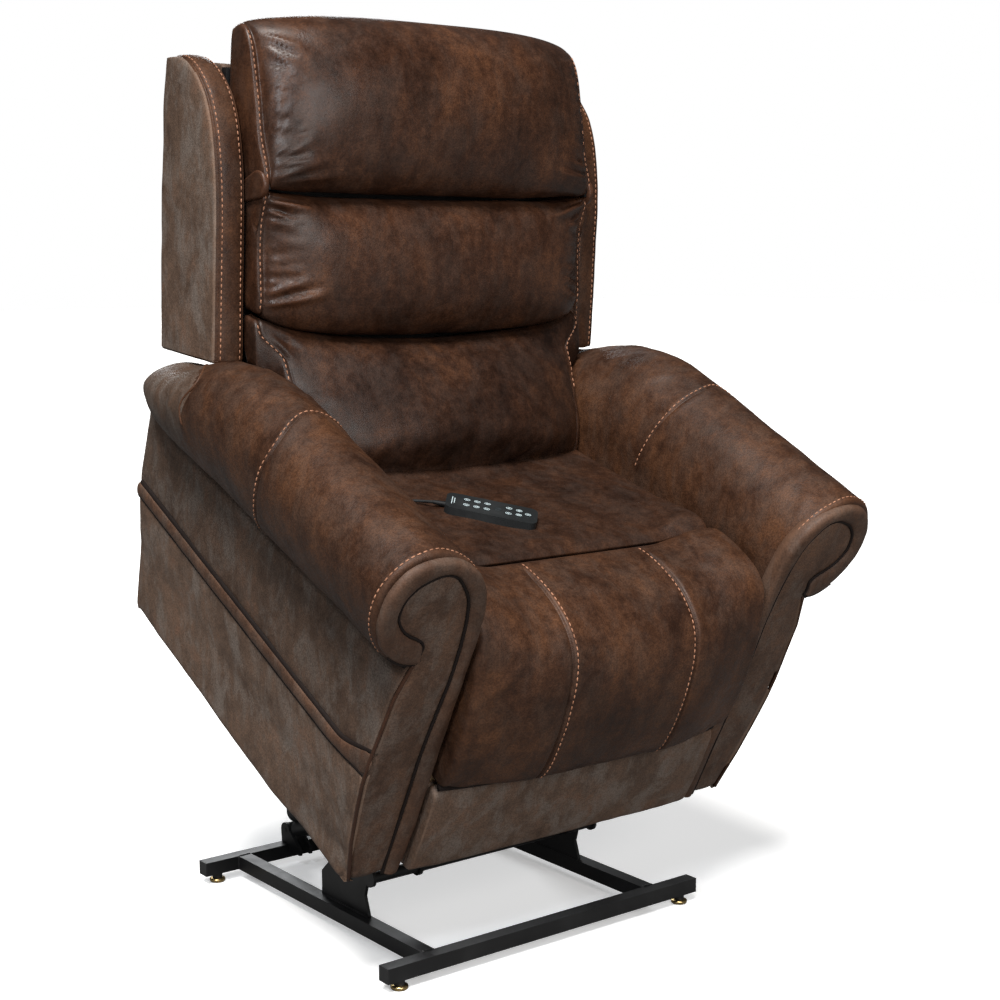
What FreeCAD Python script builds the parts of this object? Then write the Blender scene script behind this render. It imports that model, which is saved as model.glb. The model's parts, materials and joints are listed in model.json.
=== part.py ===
import FreeCAD, Part
import math
import os
import Sketcher

Vector = FreeCAD.Vector
Rotation = FreeCAD.Rotation
Placement = FreeCAD.Placement

# Driving dimensions in millimetres and degrees.
SIZES = {
    # where the part's origin lies behind the front base bar
    "origin_back": 188.2,
    # base frame of one inch square tube
    "tube_side": 25.4, "tube_wall": 2.0, "tube_low": 17.3,
    "front_bar": 662.0, "rear_bar": 634.0, "base_depth": 607.0, "rail_x": 239.0,
    "cap_thick": 3.0, "foot_front_x": 304.0, "foot_rear_x": 290.0,
    "glide_r": 14.5, "glide_high": 7.3, "collar_r": 9.0, "collar_high": 10.0,
    # lift linkage: base pivots, plate planes and pins
    "arm_pivot_y": 196.2, "arm_pivot_z": 159.5, "link_pivot_y": 269.0, "link_pivot_z": 177.8,
    "bracket_x": 229.0, "arm_x": 239.0, "link_x": 218.0, "plate": 6.0, "plate_gap": 4.0,
    "link_half": 15.0, "pin_r": 7.0, "pin_bore": 7.05, "open_bore": 9.0,
    "torque_tube_r": 10.0, "torque_reach": 48.0, "lever_reach": 60.0, "lever_angle": 130.0,
    "lever_x": -150.0, "lever_plate": 7.0, "actuator_x": -130.0, "recline_x": -60.0, "clevis_z": 67.0,
    # chair body: its lower front edge and its tilt when lifted
    "chair_y": 5.0, "chair_z": 191.0, "tilt": 27.0,
    "seat_half": 300.0, "arm_inner": 306.0, "arm_outer": 405.0, "panel_out": 419.0,
    "arm_front_thick": 20.0, "arm_roll_length": 820.0, "board": 16.0, "beam_high": 50.0,
    "rail_high": 16.0, "spring_r": 2.0, "spring_pitch": 95.0,
    # pivots of the back, pillow and footrest in the chair's own frame
    "recline_y": 690.0, "recline_z": 330.0, "back_lean": 22.0, "hinge_pin_r": 8.0,
    "hinge_bore": 8.05, "hinge_pin_long": 26.0, "foot_pivot_y": 47.0, "foot_pivot_z": 358.0,
    "roll_radius": 149.0, "seat_radius": 152.5, "cushion_half": 336.0, "pillow_half": 332.0,
    "frame_half": 350.0, "wing_thick": 60.0, "side_plate": 6.0,
    # linear actuators
    "ram_r": 16.0, "rod_r": 9.0, "eye_r": 13.0, "eye_bore": 5.1, "eye_pin": 5.0,
    "eye_thick": 10.0, "motor_r": 24.0, "motor_long": 85.0,
    # handset, its keys and its cord
    "handset_long": 152.0, "handset_wide": 64.0, "handset_base_high": 9.0,
    "handset_top_high": 10.0, "key_long": 11.0, "key_wide": 8.0, "key_high": 3.5,
    "key_gap": 0.3, "key_travel": 1.0, "cord_r": 2.5, "relief_long": 20.0, "relief_r": 5.0,
    "grommet_r": 9.0, "grommet_long": 8.0,
}

doc = FreeCAD.newDocument("LiftChair")
sheet = doc.addObject("Spreadsheet::Sheet", "Sizes")
for row, (alias, number) in enumerate(SIZES.items(), start=1):
    sheet.set(f"A{row}", alias)
    sheet.set(f"B{row}", str(number))
    sheet.setAlias(f"B{row}", alias)
doc.recompute()


def size(name):
    """The number in one cell of the sheet."""
    return float(sheet.get(name))


BASE = Placement(Vector(0, -size("origin_back"), 0), Rotation())
CHAIR = BASE * Placement(Vector(0, size("chair_y"), size("chair_z")),
                         Rotation(Vector(1, 0, 0), size("tilt")))
nodes = []


def node(piece, label, place):
    """Name a finished piece and put it in the part's frame."""
    piece.Label = label
    piece.Placement = place * piece.Placement
    nodes.append(piece)
    return piece


# ---------------------------------------------------------------- outlines and pads

class Arc:
    """A round stretch of an outline, through one point to an end point."""

    def __init__(self, through, end):
        self.through = through
        self.end = end


class Circle:
    """A round outline whose radius is a cell of the sheet."""

    def __init__(self, centre, radius):
        self.centre = centre
        self.radius = radius


def flat(point):
    return Vector(point[0], point[1], 0)


def draw(sketch, outline):
    """Add one closed outline of corners and arcs, or one circle, to a sketch."""
    if isinstance(outline, Circle):
        circle = Part.Circle(flat(outline.centre), Vector(0, 0, 1), size(outline.radius))
        index = sketch.addGeometry(circle, False)
        rule = sketch.addConstraint(Sketcher.Constraint("Radius", index, size(outline.radius)))
        sketch.setExpression(f"Constraints[{rule}]", f"Sizes.{outline.radius}")
        return
    here = outline[0]
    for step in outline[1:] + [outline[0]]:
        if isinstance(step, Arc):
            sketch.addGeometry(Part.Arc(flat(here), flat(step.through), flat(step.end)), False)
            here = step.end
        elif math.dist(here, step) > 1e-6:
            sketch.addGeometry(Part.LineSegment(flat(here), flat(step)), False)
            here = step


def pad(body, outline, start, length, holes=(), along="x"):
    """Pad an outline along +X (points are y, z) or along +Y (points are x, z).

    start and length are expressions: where the pad begins on that axis and how long it is."""
    role = "YZ_Plane" if along == "x" else "XZ_Plane"
    sketch = body.newObject("Sketcher::SketchObject", "Outline")
    plane = [item for item in body.Origin.OriginFeatures if item.Role == role][0]
    sketch.AttachmentSupport = [(plane, "")]
    sketch.MapMode = "FlatFace"
    sketch.setExpression(".AttachmentOffset.Base.z", start if along == "x" else f"-({start})")
    for shape in [outline, *holes]:
        draw(sketch, shape)
    feature = body.newObject("PartDesign::Pad", "Pad")
    feature.Profile = sketch
    feature.setExpression("Length", length)
    feature.Reversed = along != "x"
    body.Tip = feature
    return feature


def new_body(name):
    return doc.addObject("PartDesign::Body", name)


def plate(name, outline, start, length, holes=(), along="x"):
    """A body of one pad."""
    body = new_body(name)
    pad(body, outline, start, length, holes, along)
    return body


def rod(name, radius, length, start, direction):
    """A round bar; radius and length are expressions."""
    bar = doc.addObject("Part::Cylinder", name)
    bar.setExpression("Radius", radius)
    bar.setExpression("Height", length)
    bar.Placement = Placement(Vector(*start), Rotation(Vector(0, 0, 1), Vector(*direction)))
    return bar


def block(name, lengths, low):
    """A rectangular block; its three lengths are expressions."""
    solid = doc.addObject("Part::Box", name)
    for side, length in zip(("Length", "Width", "Height"), lengths):
        solid.setExpression(side, length)
    solid.Placement.Base = Vector(*low)
    return solid


def join(name, pieces):
    whole = doc.addObject("Part::MultiFuse", name)
    whole.Shapes = pieces
    return whole


def cut(name, base, tool):
    result = doc.addObject("Part::Cut", name)
    result.Base = base
    result.Tool = tool
    return result


def group(name, pieces):
    """Separate solids that share one node."""
    several = doc.addObject("Part::Compound", name)
    several.Links = pieces
    return several


def bar_outline(start, end, half):
    """The outline of a flat link with round ends from one pin to another."""
    run = (end[0] - start[0], end[1] - start[1])
    long = math.hypot(*run)
    ahead = (run[0] / long * half, run[1] / long * half)
    left = (-ahead[1], ahead[0])

    def at(pin, forward, side):
        return (pin[0] + forward * ahead[0] + side * left[0],
                pin[1] + forward * ahead[1] + side * left[1])

    return [at(start, 0, -1), at(end, 0, -1), Arc(at(end, 1, 0), at(end, 0, 1)), at(start, 0, 1),
            Arc(at(start, -1, 0), at(start, 0, -1))]


def polar(centre, reach, degrees):
    angle = math.radians(degrees)
    return (centre[0] + reach * math.cos(angle), centre[1] + reach * math.sin(angle))


def chair_to_base(point):
    """Where a (y, z) point of the chair body lies in the base's frame."""
    moved = BASE.inverse().multVec(CHAIR.multVec(Vector(0, point[0], point[1])))
    return (moved.y, moved.z)


def back(up, behind):
    """A (y, z) point of the back, given up along it and behind it from its hinge."""
    lean = math.radians(size("back_lean"))
    return (size("recline_y") + up * math.sin(lean) + behind * math.cos(lean),
            size("recline_z") + up * math.cos(lean) - behind * math.sin(lean))


SIDES = (-1, 1)
SIDE_NAMES = {-1: "right", 1: "left"}
ARM_PIVOT = (size("arm_pivot_y"), size("arm_pivot_z"))
LINK_PIVOT = (size("link_pivot_y"), size("link_pivot_z"))
ARM_TOP = (384.0, 30.3)
LINK_TOP = (569.6, 40.2)
FOOT_PIVOT = (size("foot_pivot_y"), size("foot_pivot_z"))
RECLINE = (size("recline_y"), size("recline_z"))
TUBE_TOP = size("tube_low") + size("tube_side")


def beside(side, name, thick):
    """Start expression of a plate whose inner face is at a cell's x, on either side."""
    return f"Sizes.{name}" if side > 0 else f"-(Sizes.{name} + {thick})"


# ---------------------------------------------------------------- base frame

def square_tube(name, length, start, along_x):
    """A hollow square tube along X or Y from the middle of its start face."""
    side, wall = "Sizes.tube_side", "Sizes.tube_wall"
    half = size("tube_side") / 2
    outer_run = (length, side, side) if along_x else (side, length, side)
    bore = f"{side} - 2 * {wall}"
    inner_run = (length, bore, bore) if along_x else (bore, length, bore)
    x, y = start
    corner = (x, y - half) if along_x else (x - half, y)
    low = size("tube_low")
    shift = size("tube_wall")
    inner_low = (corner[0] + (0 if along_x else shift), corner[1] + (shift if along_x else 0))
    outer = block(name + "_outer", outer_run, (*corner, low))
    inner = block(name + "_inner", inner_run, (*inner_low, low + shift))
    return cut(name, outer, inner)


def base_frame():
    depth, half_tube = size("base_depth"), size("tube_side") / 2
    front = square_tube("FrontBar", "Sizes.front_bar", (-size("front_bar") / 2, 0), True)
    node(front, "base_front_bar", BASE)
    rear = square_tube("RearBar", "Sizes.rear_bar", (-size("rear_bar") / 2, depth), True)
    node(rear, "base_rear_bar", BASE)
    rails = [square_tube("Rail", "Sizes.base_depth - Sizes.tube_side",
                         (side * size("rail_x"), half_tube), False) for side in SIDES]
    node(group("Rails", rails), "base_side_rails", BASE)
    cap = "Sizes.cap_thick"
    caps = []
    for bar, y in (("front_bar", 0), ("rear_bar", depth)):
        for side in SIDES:
            low_x = side * size(bar) / 2 - (size("cap_thick") if side < 0 else 0)
            caps.append(block("Cap", (cap, "Sizes.tube_side", "Sizes.tube_side"),
                              (low_x, y - half_tube, size("tube_low"))))
    node(group("Caps", caps), "base_end_caps", BASE)
    glides, collars = [], []
    for x, y in ((size("foot_front_x"), 0), (size("foot_rear_x"), depth)):
        for side in SIDES:
            glides.append(rod("Glide", "Sizes.glide_r", "Sizes.glide_high",
                              (side * x, y, 0), (0, 0, 1)))
            collars.append(rod("Collar", "Sizes.collar_r", "Sizes.collar_high",
                               (side * x, y, size("glide_high")), (0, 0, 1)))
    node(group("Glides", glides), "levelling_glides", BASE)
    node(group("Collars", collars), "glide_collars", BASE)


def lift_brackets():
    """Upright plates on the rails, each with two welded pivot pins."""
    outline = [(190, TUBE_TOP), (334, TUBE_TOP), (334, 86), (293, 124), (289, 178),
               Arc((275, 196.5), (262, 198)), (196, 180), Arc((180, 172), (178, 157)),
               (201, 77), (190, 46)]
    plates = []
    for side in SIDES:
        body = new_body("Bracket")
        pad(body, outline, beside(side, "bracket_x", "Sizes.plate"), "Sizes.plate")
        outer_pin = "Sizes.plate * 2 + Sizes.plate_gap * 2"
        pad(body, Circle(ARM_PIVOT, "pin_r"), beside(side, "bracket_x", outer_pin), outer_pin)
        inner_long = "Sizes.bracket_x - Sizes.link_x + 4"
        inner_start = "Sizes.link_x - 4" if side > 0 else "-(Sizes.bracket_x)"
        pad(body, Circle(LINK_PIVOT, "pin_r"), inner_start, inner_long)
        plates.append(body)
    node(group("Brackets", plates), "lift_brackets", BASE)


def actuator_bracket():
    """Clevis of two ears on a foot, welded in front of the rear bar."""
    depth = size("base_depth")
    eye = (depth, size("clevis_z"))
    ear = [(depth - 12.7, TUBE_TOP), (depth + 12, TUBE_TOP), (depth + 14, 67),
           Arc((depth, 82), (depth - 15, 70)), (depth - 52, 43), (depth - 52, 30),
           (depth - 12.7, 30)]
    ears = []
    for x in (-144, -122):
        ears.append(plate("Ear", ear, f"{x}", "6"))
    pin = rod("ClevisPin", "Sizes.eye_pin", "30", (-145, *eye), (1, 0, 0))
    node(join("ActuatorBracket", [*ears, pin]), "lift_actuator_bracket", BASE)


# ---------------------------------------------------------------- lift linkage

def lift_linkage():
    arm_top, link_top = chair_to_base(ARM_TOP), chair_to_base(LINK_TOP)
    arm_angle = math.degrees(math.atan2(arm_top[1] - ARM_PIVOT[1], arm_top[0] - ARM_PIVOT[0]))
    tube_at = polar(ARM_PIVOT, size("torque_reach"), arm_angle + 180)
    half = size("link_half")
    arm_holes = [Circle(ARM_PIVOT, "pin_bore"), Circle(arm_top, "pin_bore")]
    lift_arms = [plate("LiftArm", bar_outline(tube_at, arm_top, half),
                       beside(side, "arm_x", "Sizes.plate"), "Sizes.plate", arm_holes)
                 for side in SIDES]
    node(group("LiftArms", lift_arms), "lift_arms", BASE)
    shaft = rod("TorqueShaft", "Sizes.torque_tube_r", "2 * Sizes.arm_x",
                (-size("arm_x"), *tube_at), (1, 0, 0))
    pin_at = polar(ARM_PIVOT, size("lever_reach"), size("lever_angle"))
    lever = plate("Lever", bar_outline(tube_at, pin_at, half), "Sizes.lever_x",
                  "Sizes.lever_plate")
    stub = rod("LeverPin", "Sizes.eye_pin", "Sizes.lever_plate + 7",
               (size("lever_x") - 6, *pin_at), (1, 0, 0))
    node(join("TorqueTube", [shaft, lever, stub]), "torque_tube", BASE)
    link_holes = [Circle(LINK_PIVOT, "pin_bore"), Circle(link_top, "open_bore")]
    rear_links = [plate("RearLink", bar_outline(LINK_PIVOT, link_top, half),
                        beside(side, "link_x", "Sizes.plate"), "Sizes.plate", link_holes)
                  for side in SIDES]
    node(group("RearLinks", rear_links), "rear_links", BASE)
    return pin_at


def actuator(prefix, start, end, x, place, barrel, retraction):
    """A linear actuator from its fixed eye to its rod's eye, in two moving pieces.

    retraction is how far the rod still slides in from its place at rest."""
    run = math.hypot(end[0] - start[0], end[1] - start[1])
    way = (0, (end[0] - start[0]) / run, (end[1] - start[1]) / run)

    def along(reach):
        return (start[0] + reach * way[1], start[1] + reach * way[2])

    def eye(name, centre, inner):
        return plate(name, bar_outline(centre, inner, size("eye_r")),
                     f"{x} - Sizes.eye_thick / 2", "Sizes.eye_thick",
                     [Circle(centre, "eye_bore")])

    neck = 28
    bore_from = neck + 25
    outer = rod("Barrel", "Sizes.ram_r", f"{barrel - neck}", (x, *along(neck)), way)
    bore = rod("Bore", "Sizes.rod_r + 0.06", f"{barrel}", (x, *along(bore_from)), way)
    motor_reach = size("ram_r") + size("motor_r") - 6
    motor_from = along(neck + 8)
    upward = (way[2], -way[1]) if way[1] < 0 else (-way[2], way[1])
    motor = rod("Motor", "Sizes.motor_r", "Sizes.motor_long",
                (x, motor_from[0] + upward[0] * motor_reach,
                 motor_from[1] + upward[1] * motor_reach), way)
    shell = join("Shell", [outer, motor, eye("FixedEye", start, along(neck + 6))])
    node(cut("Actuator", shell, bore), prefix + "_actuator", place)
    rod_from = bore_from + retraction
    ram = rod("Ram", "Sizes.rod_r", f"{run - size('eye_r') - 6 - rod_from}",
              (x, *along(rod_from)), way)
    rod_eye = eye("RodEye", end, along(run - size("eye_r") - 4))
    node(join("RamAndEye", [ram, rod_eye]), prefix + "_actuator_rod", place)


# ---------------------------------------------------------------- chair frame and seat

def chair_frame():
    """Steel side plates with the arm pins, three cross tubes and the actuators' ears."""
    outline = [(366, 12), (660, 12), (660, 58), (450, 70), (420, 138), (384, 138), (366, 60)]
    side_plates = []
    for side in SIDES:
        body = new_body("SidePlate")
        pad(body, outline, beside(side, "bracket_x", "Sizes.plate"), "Sizes.plate")
        outer = "Sizes.plate * 2 + Sizes.plate_gap * 2"
        pad(body, Circle(ARM_TOP, "pin_r"), beside(side, "bracket_x", outer), outer)
        inner_start = "Sizes.link_x - 4" if side > 0 else "-(Sizes.bracket_x)"
        pad(body, Circle(LINK_TOP, "pin_r"), inner_start, "Sizes.bracket_x - Sizes.link_x + 4")
        side_plates.append(body)
    tubes = []
    width = "2 * Sizes.arm_inner"
    for y, z in ((388, 113), (632, 20), (388, 200)):
        tubes.append(block("CrossTube", (width, "Sizes.tube_side", "Sizes.tube_side"),
                           (-size("arm_inner"), y, z)))
    node(cut("NotchedPlates", group("SidePlates", side_plates), join("LowerTubes", tubes[:2])),
         "lift_frame", CHAIR)
    node(group("LiftTubes", tubes[:2]), "lift_cross_tubes", CHAIR)
    y, z = RECLINE_CLEVIS
    outline = [(410, z - 14), (y - 4, z - 14), Arc((y + 10, z), (y - 4, z + 14)), (410, z + 14)]
    for low_x in (size("recline_x") - 13, size("recline_x") + 7):
        tubes.append(plate("Ear", outline, f"{low_x}", "6"))
    tubes.append(rod("EarPin", "Sizes.eye_pin", "26", (size("recline_x") - 13, y, z), (1, 0, 0)))
    node(join("ActuatorTube", tubes[2:]), "actuator_cross_tube", CHAIR)


RECLINE_CLEVIS = (438.0, 214.0)
RECLINE_CRANK = polar(RECLINE, 70.0, -65.0)


def seat_box():
    """Wooden cross members between the arms: two low beams and two spring rails."""
    width = "2 * Sizes.arm_inner"
    low_x = -size("arm_inner")
    members = []
    for y in (205, 562):
        members.append(block("Beam", (width, "Sizes.board", "Sizes.beam_high"), (low_x, y, 166)))
    for y in (212, 566):
        members.append(block("SpringRail", (width, "Sizes.board", "Sizes.rail_high"),
                             (low_x, y, 322)))
    node(group("SeatBox", members), "seat_box_members", CHAIR)
    wires = []
    for number in range(-2, 3):
        wires.append(rod("Wire", "Sizes.spring_r", "366",
                         (number * size("spring_pitch"), 214, 340.5), (0, 1, 0)))
    node(group("Springs", wires), "seat_springs", CHAIR)
    y, z = FOOT_PIVOT
    radius = size("seat_radius")
    front = polar(FOOT_PIVOT, radius, 43.5)
    low = polar(FOOT_PIVOT, radius, -5.0)
    outline = [front, Arc(polar(FOOT_PIVOT, radius, 20.0), low), (585, low[1]), (585, 396)]
    node(plate("SeatCushion", outline, "-Sizes.seat_half", "2 * Sizes.seat_half"),
         "seat_cushion", CHAIR)


def arms():
    """Each arm: wooden core, padded roll, front panel and two side panels."""
    core = [(22, 8), (726, 8), (822, 367), (830, 398), (22, 398)]
    head = [(306, 22), (306, 500), Arc((338, 578), (415, 612)), Arc((476, 582), (492, 530)),
            Arc((478, 468), (425, 436)), (414, 420), (421, 366), Arc((427, 230), (411, 85)),
            (393, 4), (330, 4)]
    roll = [(306, 400), (306, 520), Arc((345, 603), (415, 624)), Arc((484, 594), (502, 540)),
            Arc((486, 466), (432, 430)), (414, 430), (414, 400)]
    upper = [(22, 224), (790, 224), (822, 367), (824, 396), (22, 396)]
    inner_trim = [(-10, 390), (-10, 700), (440, 640), (486, 621), Arc((573, 591), (650, 546)),
                  Arc((747, 499), (839, 430)), (828, 390)]
    cores = []
    for side in SIDES:
        wood = new_body("ArmCore")
        pad(wood, core, beside(side, "arm_inner", "Sizes.arm_outer - Sizes.arm_inner"),
            "Sizes.arm_outer - Sizes.arm_inner")
        for centre in (FOOT_PIVOT, RECLINE):
            bearing(wood, centre, side)
        cores.append(wood)
        mirrored = [mirror(step, side) for step in roll]
        long_roll = plate("RollBlank", mirrored, "22", "Sizes.arm_roll_length", along="y")
        trim = plate("RollTrim", inner_trim, beside(side, "arm_inner", "200") + " - 5", "215")
        shaped = doc.addObject("Part::Common", "Roll")
        shaped.Base = long_roll
        shaped.Tool = trim
        node(shaped, "arm_roll_" + SIDE_NAMES[side], CHAIR)
        post = [mirror(step, side) for step in head]
        node(plate("ArmFront", post, "0", "Sizes.arm_front_thick", along="y"),
             "arm_front_" + SIDE_NAMES[side], CHAIR)
        thick = "Sizes.panel_out - Sizes.arm_outer"
        node(plate("UpperPanel", upper, beside(side, "arm_outer", thick), thick),
             "side_panel_upper_" + SIDE_NAMES[side], CHAIR)
        lower_panel = [(22, 2), (724, 2), (789, 222), (22, 222)]
        node(plate("LowerPanel", lower_panel, beside(side, "arm_outer", thick), thick),
             "side_panel_lower_" + SIDE_NAMES[side], CHAIR)
    node(group("ArmCores", cores), "arm_cores", CHAIR)


def mirror(step, side):
    if isinstance(step, Arc):
        return Arc((step.through[0] * side, step.through[1]), (step.end[0] * side, step.end[1]))
    return (step[0] * side, step[1])


def bearing(wood, centre, side):
    """A blind hole in an arm's inner face for a hinge pin."""
    sketch = wood.newObject("Sketcher::SketchObject", "Bearing")
    plane = [item for item in wood.Origin.OriginFeatures if item.Role == "YZ_Plane"][0]
    sketch.AttachmentSupport = [(plane, "")]
    sketch.MapMode = "FlatFace"
    sketch.setExpression(".AttachmentOffset.Base.z", f"{side} * Sizes.arm_inner")
    draw(sketch, Circle(centre, "hinge_bore"))
    hole = wood.newObject("PartDesign::Pocket", "BearingHole")
    hole.Profile = sketch
    hole.Reversed = side > 0
    hole.setExpression("Length", "Sizes.hinge_pin_long")
    wood.Tip = hole


def body_panels():
    rear = [(712, 8), (726, 8), (794, 246), (779, 246)]
    node(plate("RearPanel", rear, "-Sizes.arm_inner", "2 * Sizes.arm_inner"), "rear_panel", CHAIR)
    box = block("ControlBox", ("120", "120", "40"), (150, 441, 168))
    inlet = rod("Inlet", "4.5", "12", (240, 561.5, 188), (0, -1, 0))
    node(cut("ControlUnit", box, inlet), "control_box", CHAIR)


# ---------------------------------------------------------------- back, pillow, footrest

def back_outline(points):
    return [Arc(back(*step.through), back(*step.end)) if isinstance(step, Arc) else back(*step)
            for step in points]


def backrest():
    frame = new_body("BackFrame")
    half = size("frame_half")
    board = back_outline([(192, -58), (470, -58), (470, -6), (655, -6), (655, 8), (456, 8),
                          (456, -42), (192, -42)])
    pad(frame, board, "-Sizes.frame_half", "2 * Sizes.frame_half")
    low_board = back_outline([(50, -58), (200, -58), (200, -42), (50, -42)])
    pad(frame, low_board, "-Sizes.seat_half + 4", "2 * (Sizes.seat_half - 4)")
    ear = back_outline([(-16, -10), Arc((-22, 0), (-16, 12)), (30, 22), (150, -42), (150, -58),
                        (50, -58)])
    head_ear = back_outline([(456, -58), (470, -58), (490, -104), Arc((484, -126), (462, -124)),
                             (448, -58)])
    for side in SIDES:
        thick = "Sizes.side_plate"
        start = beside(side, "seat_half", thick)
        shift = " - 10" if side > 0 else " + 10"
        pad(frame, ear, start + shift, thick)
        long = "Sizes.hinge_pin_long + Sizes.side_plate"
        pin_start = beside(side, "seat_half", long) if side > 0 else f"-(Sizes.seat_half + {long})"
        pad(frame, Circle(RECLINE, "hinge_pin_r"), pin_start + (" - 6" if side > 0 else " + 6"),
            long)
        pad(frame, head_ear, beside(side, "cushion_half", thick) + (" + 4" if side > 0 else " - 4"),
            thick)
        head_pin = "Sizes.side_plate + 7"
        pin_low = beside(side, "cushion_half", head_pin)
        pad(frame, Circle(back(474, -115), "eye_pin"), pin_low + (" - 3" if side > 0 else " + 3"),
            head_pin)
    lever = plate("ReclineLever", bar_outline(RECLINE_CRANK, back(70, -50), 13), "-80", "7")
    lever_pin = rod("ReclinePin", "Sizes.eye_pin", "14", (-80, *RECLINE_CRANK), (1, 0, 0))
    node(join("BackFrameWhole", [frame, lever, lever_pin]), "back_frame", CHAIR)

    wing = back_outline([(190, -88), (470, -88), Arc((600, -52), (668, 30)), (660, 92), (184, 93)])
    for side in SIDES:
        node(plate("Wing", wing, beside(side, "frame_half", "Sizes.wing_thick"),
                   "Sizes.wing_thick"), "back_wing_" + SIDE_NAMES[side], CHAIR)
    shell = new_body("BackShell")
    pad(shell, back_outline([(186, 78), (186, 92), (658, 92), (658, 12), (645, 12), (645, 78)]),
        "-Sizes.frame_half", "2 * Sizes.frame_half")
    pad(shell, back_outline([(22, 78), (22, 92), (190, 92), (190, 78)]),
        "-Sizes.seat_half + 4", "2 * (Sizes.seat_half - 4)")
    node(shell, "back_shell", CHAIR)

    lumbar = [back(8, -237), Arc(back(150, -205), back(250, -128)), back(252, -60), back(82, -60)]
    node(plate("Lumbar", lumbar, "-Sizes.seat_half + 2", "2 * (Sizes.seat_half - 2)"),
         "lumbar_cushion", CHAIR)
    middle = back_outline([(260, -60), (260, -122), Arc((365, -158), (464, -116)), (464, -60)])
    node(plate("Middle", middle, "-Sizes.pillow_half + 1", "2 * (Sizes.pillow_half - 1)"),
         "middle_cushion", CHAIR)
    pillow = back_outline([(474, -10), (474, -116), Arc((600, -166), (722, -118)),
                           Arc((748, -70), (735, -10))])
    node(plate("Pillow", pillow, "-Sizes.pillow_half", "2 * Sizes.pillow_half"),
         "head_pillow", CHAIR)
    tilt = back_outline([(486, -126), (466, -126), (466, -104), (490, -60), (540, -60),
                         (540, -100)])
    brackets = []
    for side in SIDES:
        brackets.append(plate("TiltPlate", tilt, beside(side, "pillow_half", "5"), "5",
                              [Circle(back(474, -115), "eye_bore")]))
    node(group("TiltPlates", brackets), "pillow_brackets", CHAIR)


def footrest():
    radius = size("roll_radius")
    top_back = polar(FOOT_PIVOT, radius, 47.0)
    low_back = polar(FOOT_PIVOT, radius, 13.0)
    roll = [(10, 190), (10, low_back[1]), low_back, Arc(polar(FOOT_PIVOT, radius, 30.0), top_back),
            (62, 467), Arc((-18, 442), (-50, 370)), (-57, 300), Arc((-60, 240), (-46, 190))]
    node(plate("FrontRoll", roll, "-Sizes.seat_half", "2 * Sizes.seat_half"), "front_roll", CHAIR)
    board = new_body("FootBoard")
    reach = low_back[0] - 6
    elbow = [(10.4, 28), (24, 28), (24, 376), (reach, 376), (reach, 390), (10.4, 390)]
    pad(board, elbow, "-Sizes.seat_half + 4", "2 * (Sizes.seat_half - 4)")
    cheek = [(24, 310), (60, 330), (80, 376), (24, 376)]
    for side in SIDES:
        pad(board, cheek, beside(side, "seat_half", "10") + (" - 14" if side > 0 else " + 14"),
            "10")
        long = "Sizes.hinge_pin_long + 8"
        start = beside(side, "seat_half", long) + (" - 6" if side > 0 else " + 6")
        pad(board, Circle(FOOT_PIVOT, "hinge_pin_r"), start, long)
    node(board, "footrest_board", CHAIR)
    panel = [(-20, 10), (10, 10), (10, 182), (-20, 182)]
    node(plate("LowerPad", panel, "-Sizes.seat_half", "2 * Sizes.seat_half"),
         "footrest_lower_pad", CHAIR)


# ---------------------------------------------------------------- handset and cord

HANDSET_AT = Vector(-70, 297, 443.6)
HANDSET_TURN = Rotation(Vector(1, 0, 0), -8.9) * Rotation(Vector(0, 0, 1), -40.0)
HANDSET = Placement(HANDSET_AT, HANDSET_TURN)
KEY_ROWS = (-11.0, 11.0)
KEY_COLUMNS = (-42.0, -25.0, -8.0)
HOME_KEYS = ((28.0, 11.0), (28.0, -11.0), (45.0, 9.0), (45.0, -9.0), (60.0, 0.0))


def key_places():
    block_keys = [(x, y) for x in KEY_COLUMNS for y in KEY_ROWS]
    return block_keys + list(HOME_KEYS)


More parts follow.
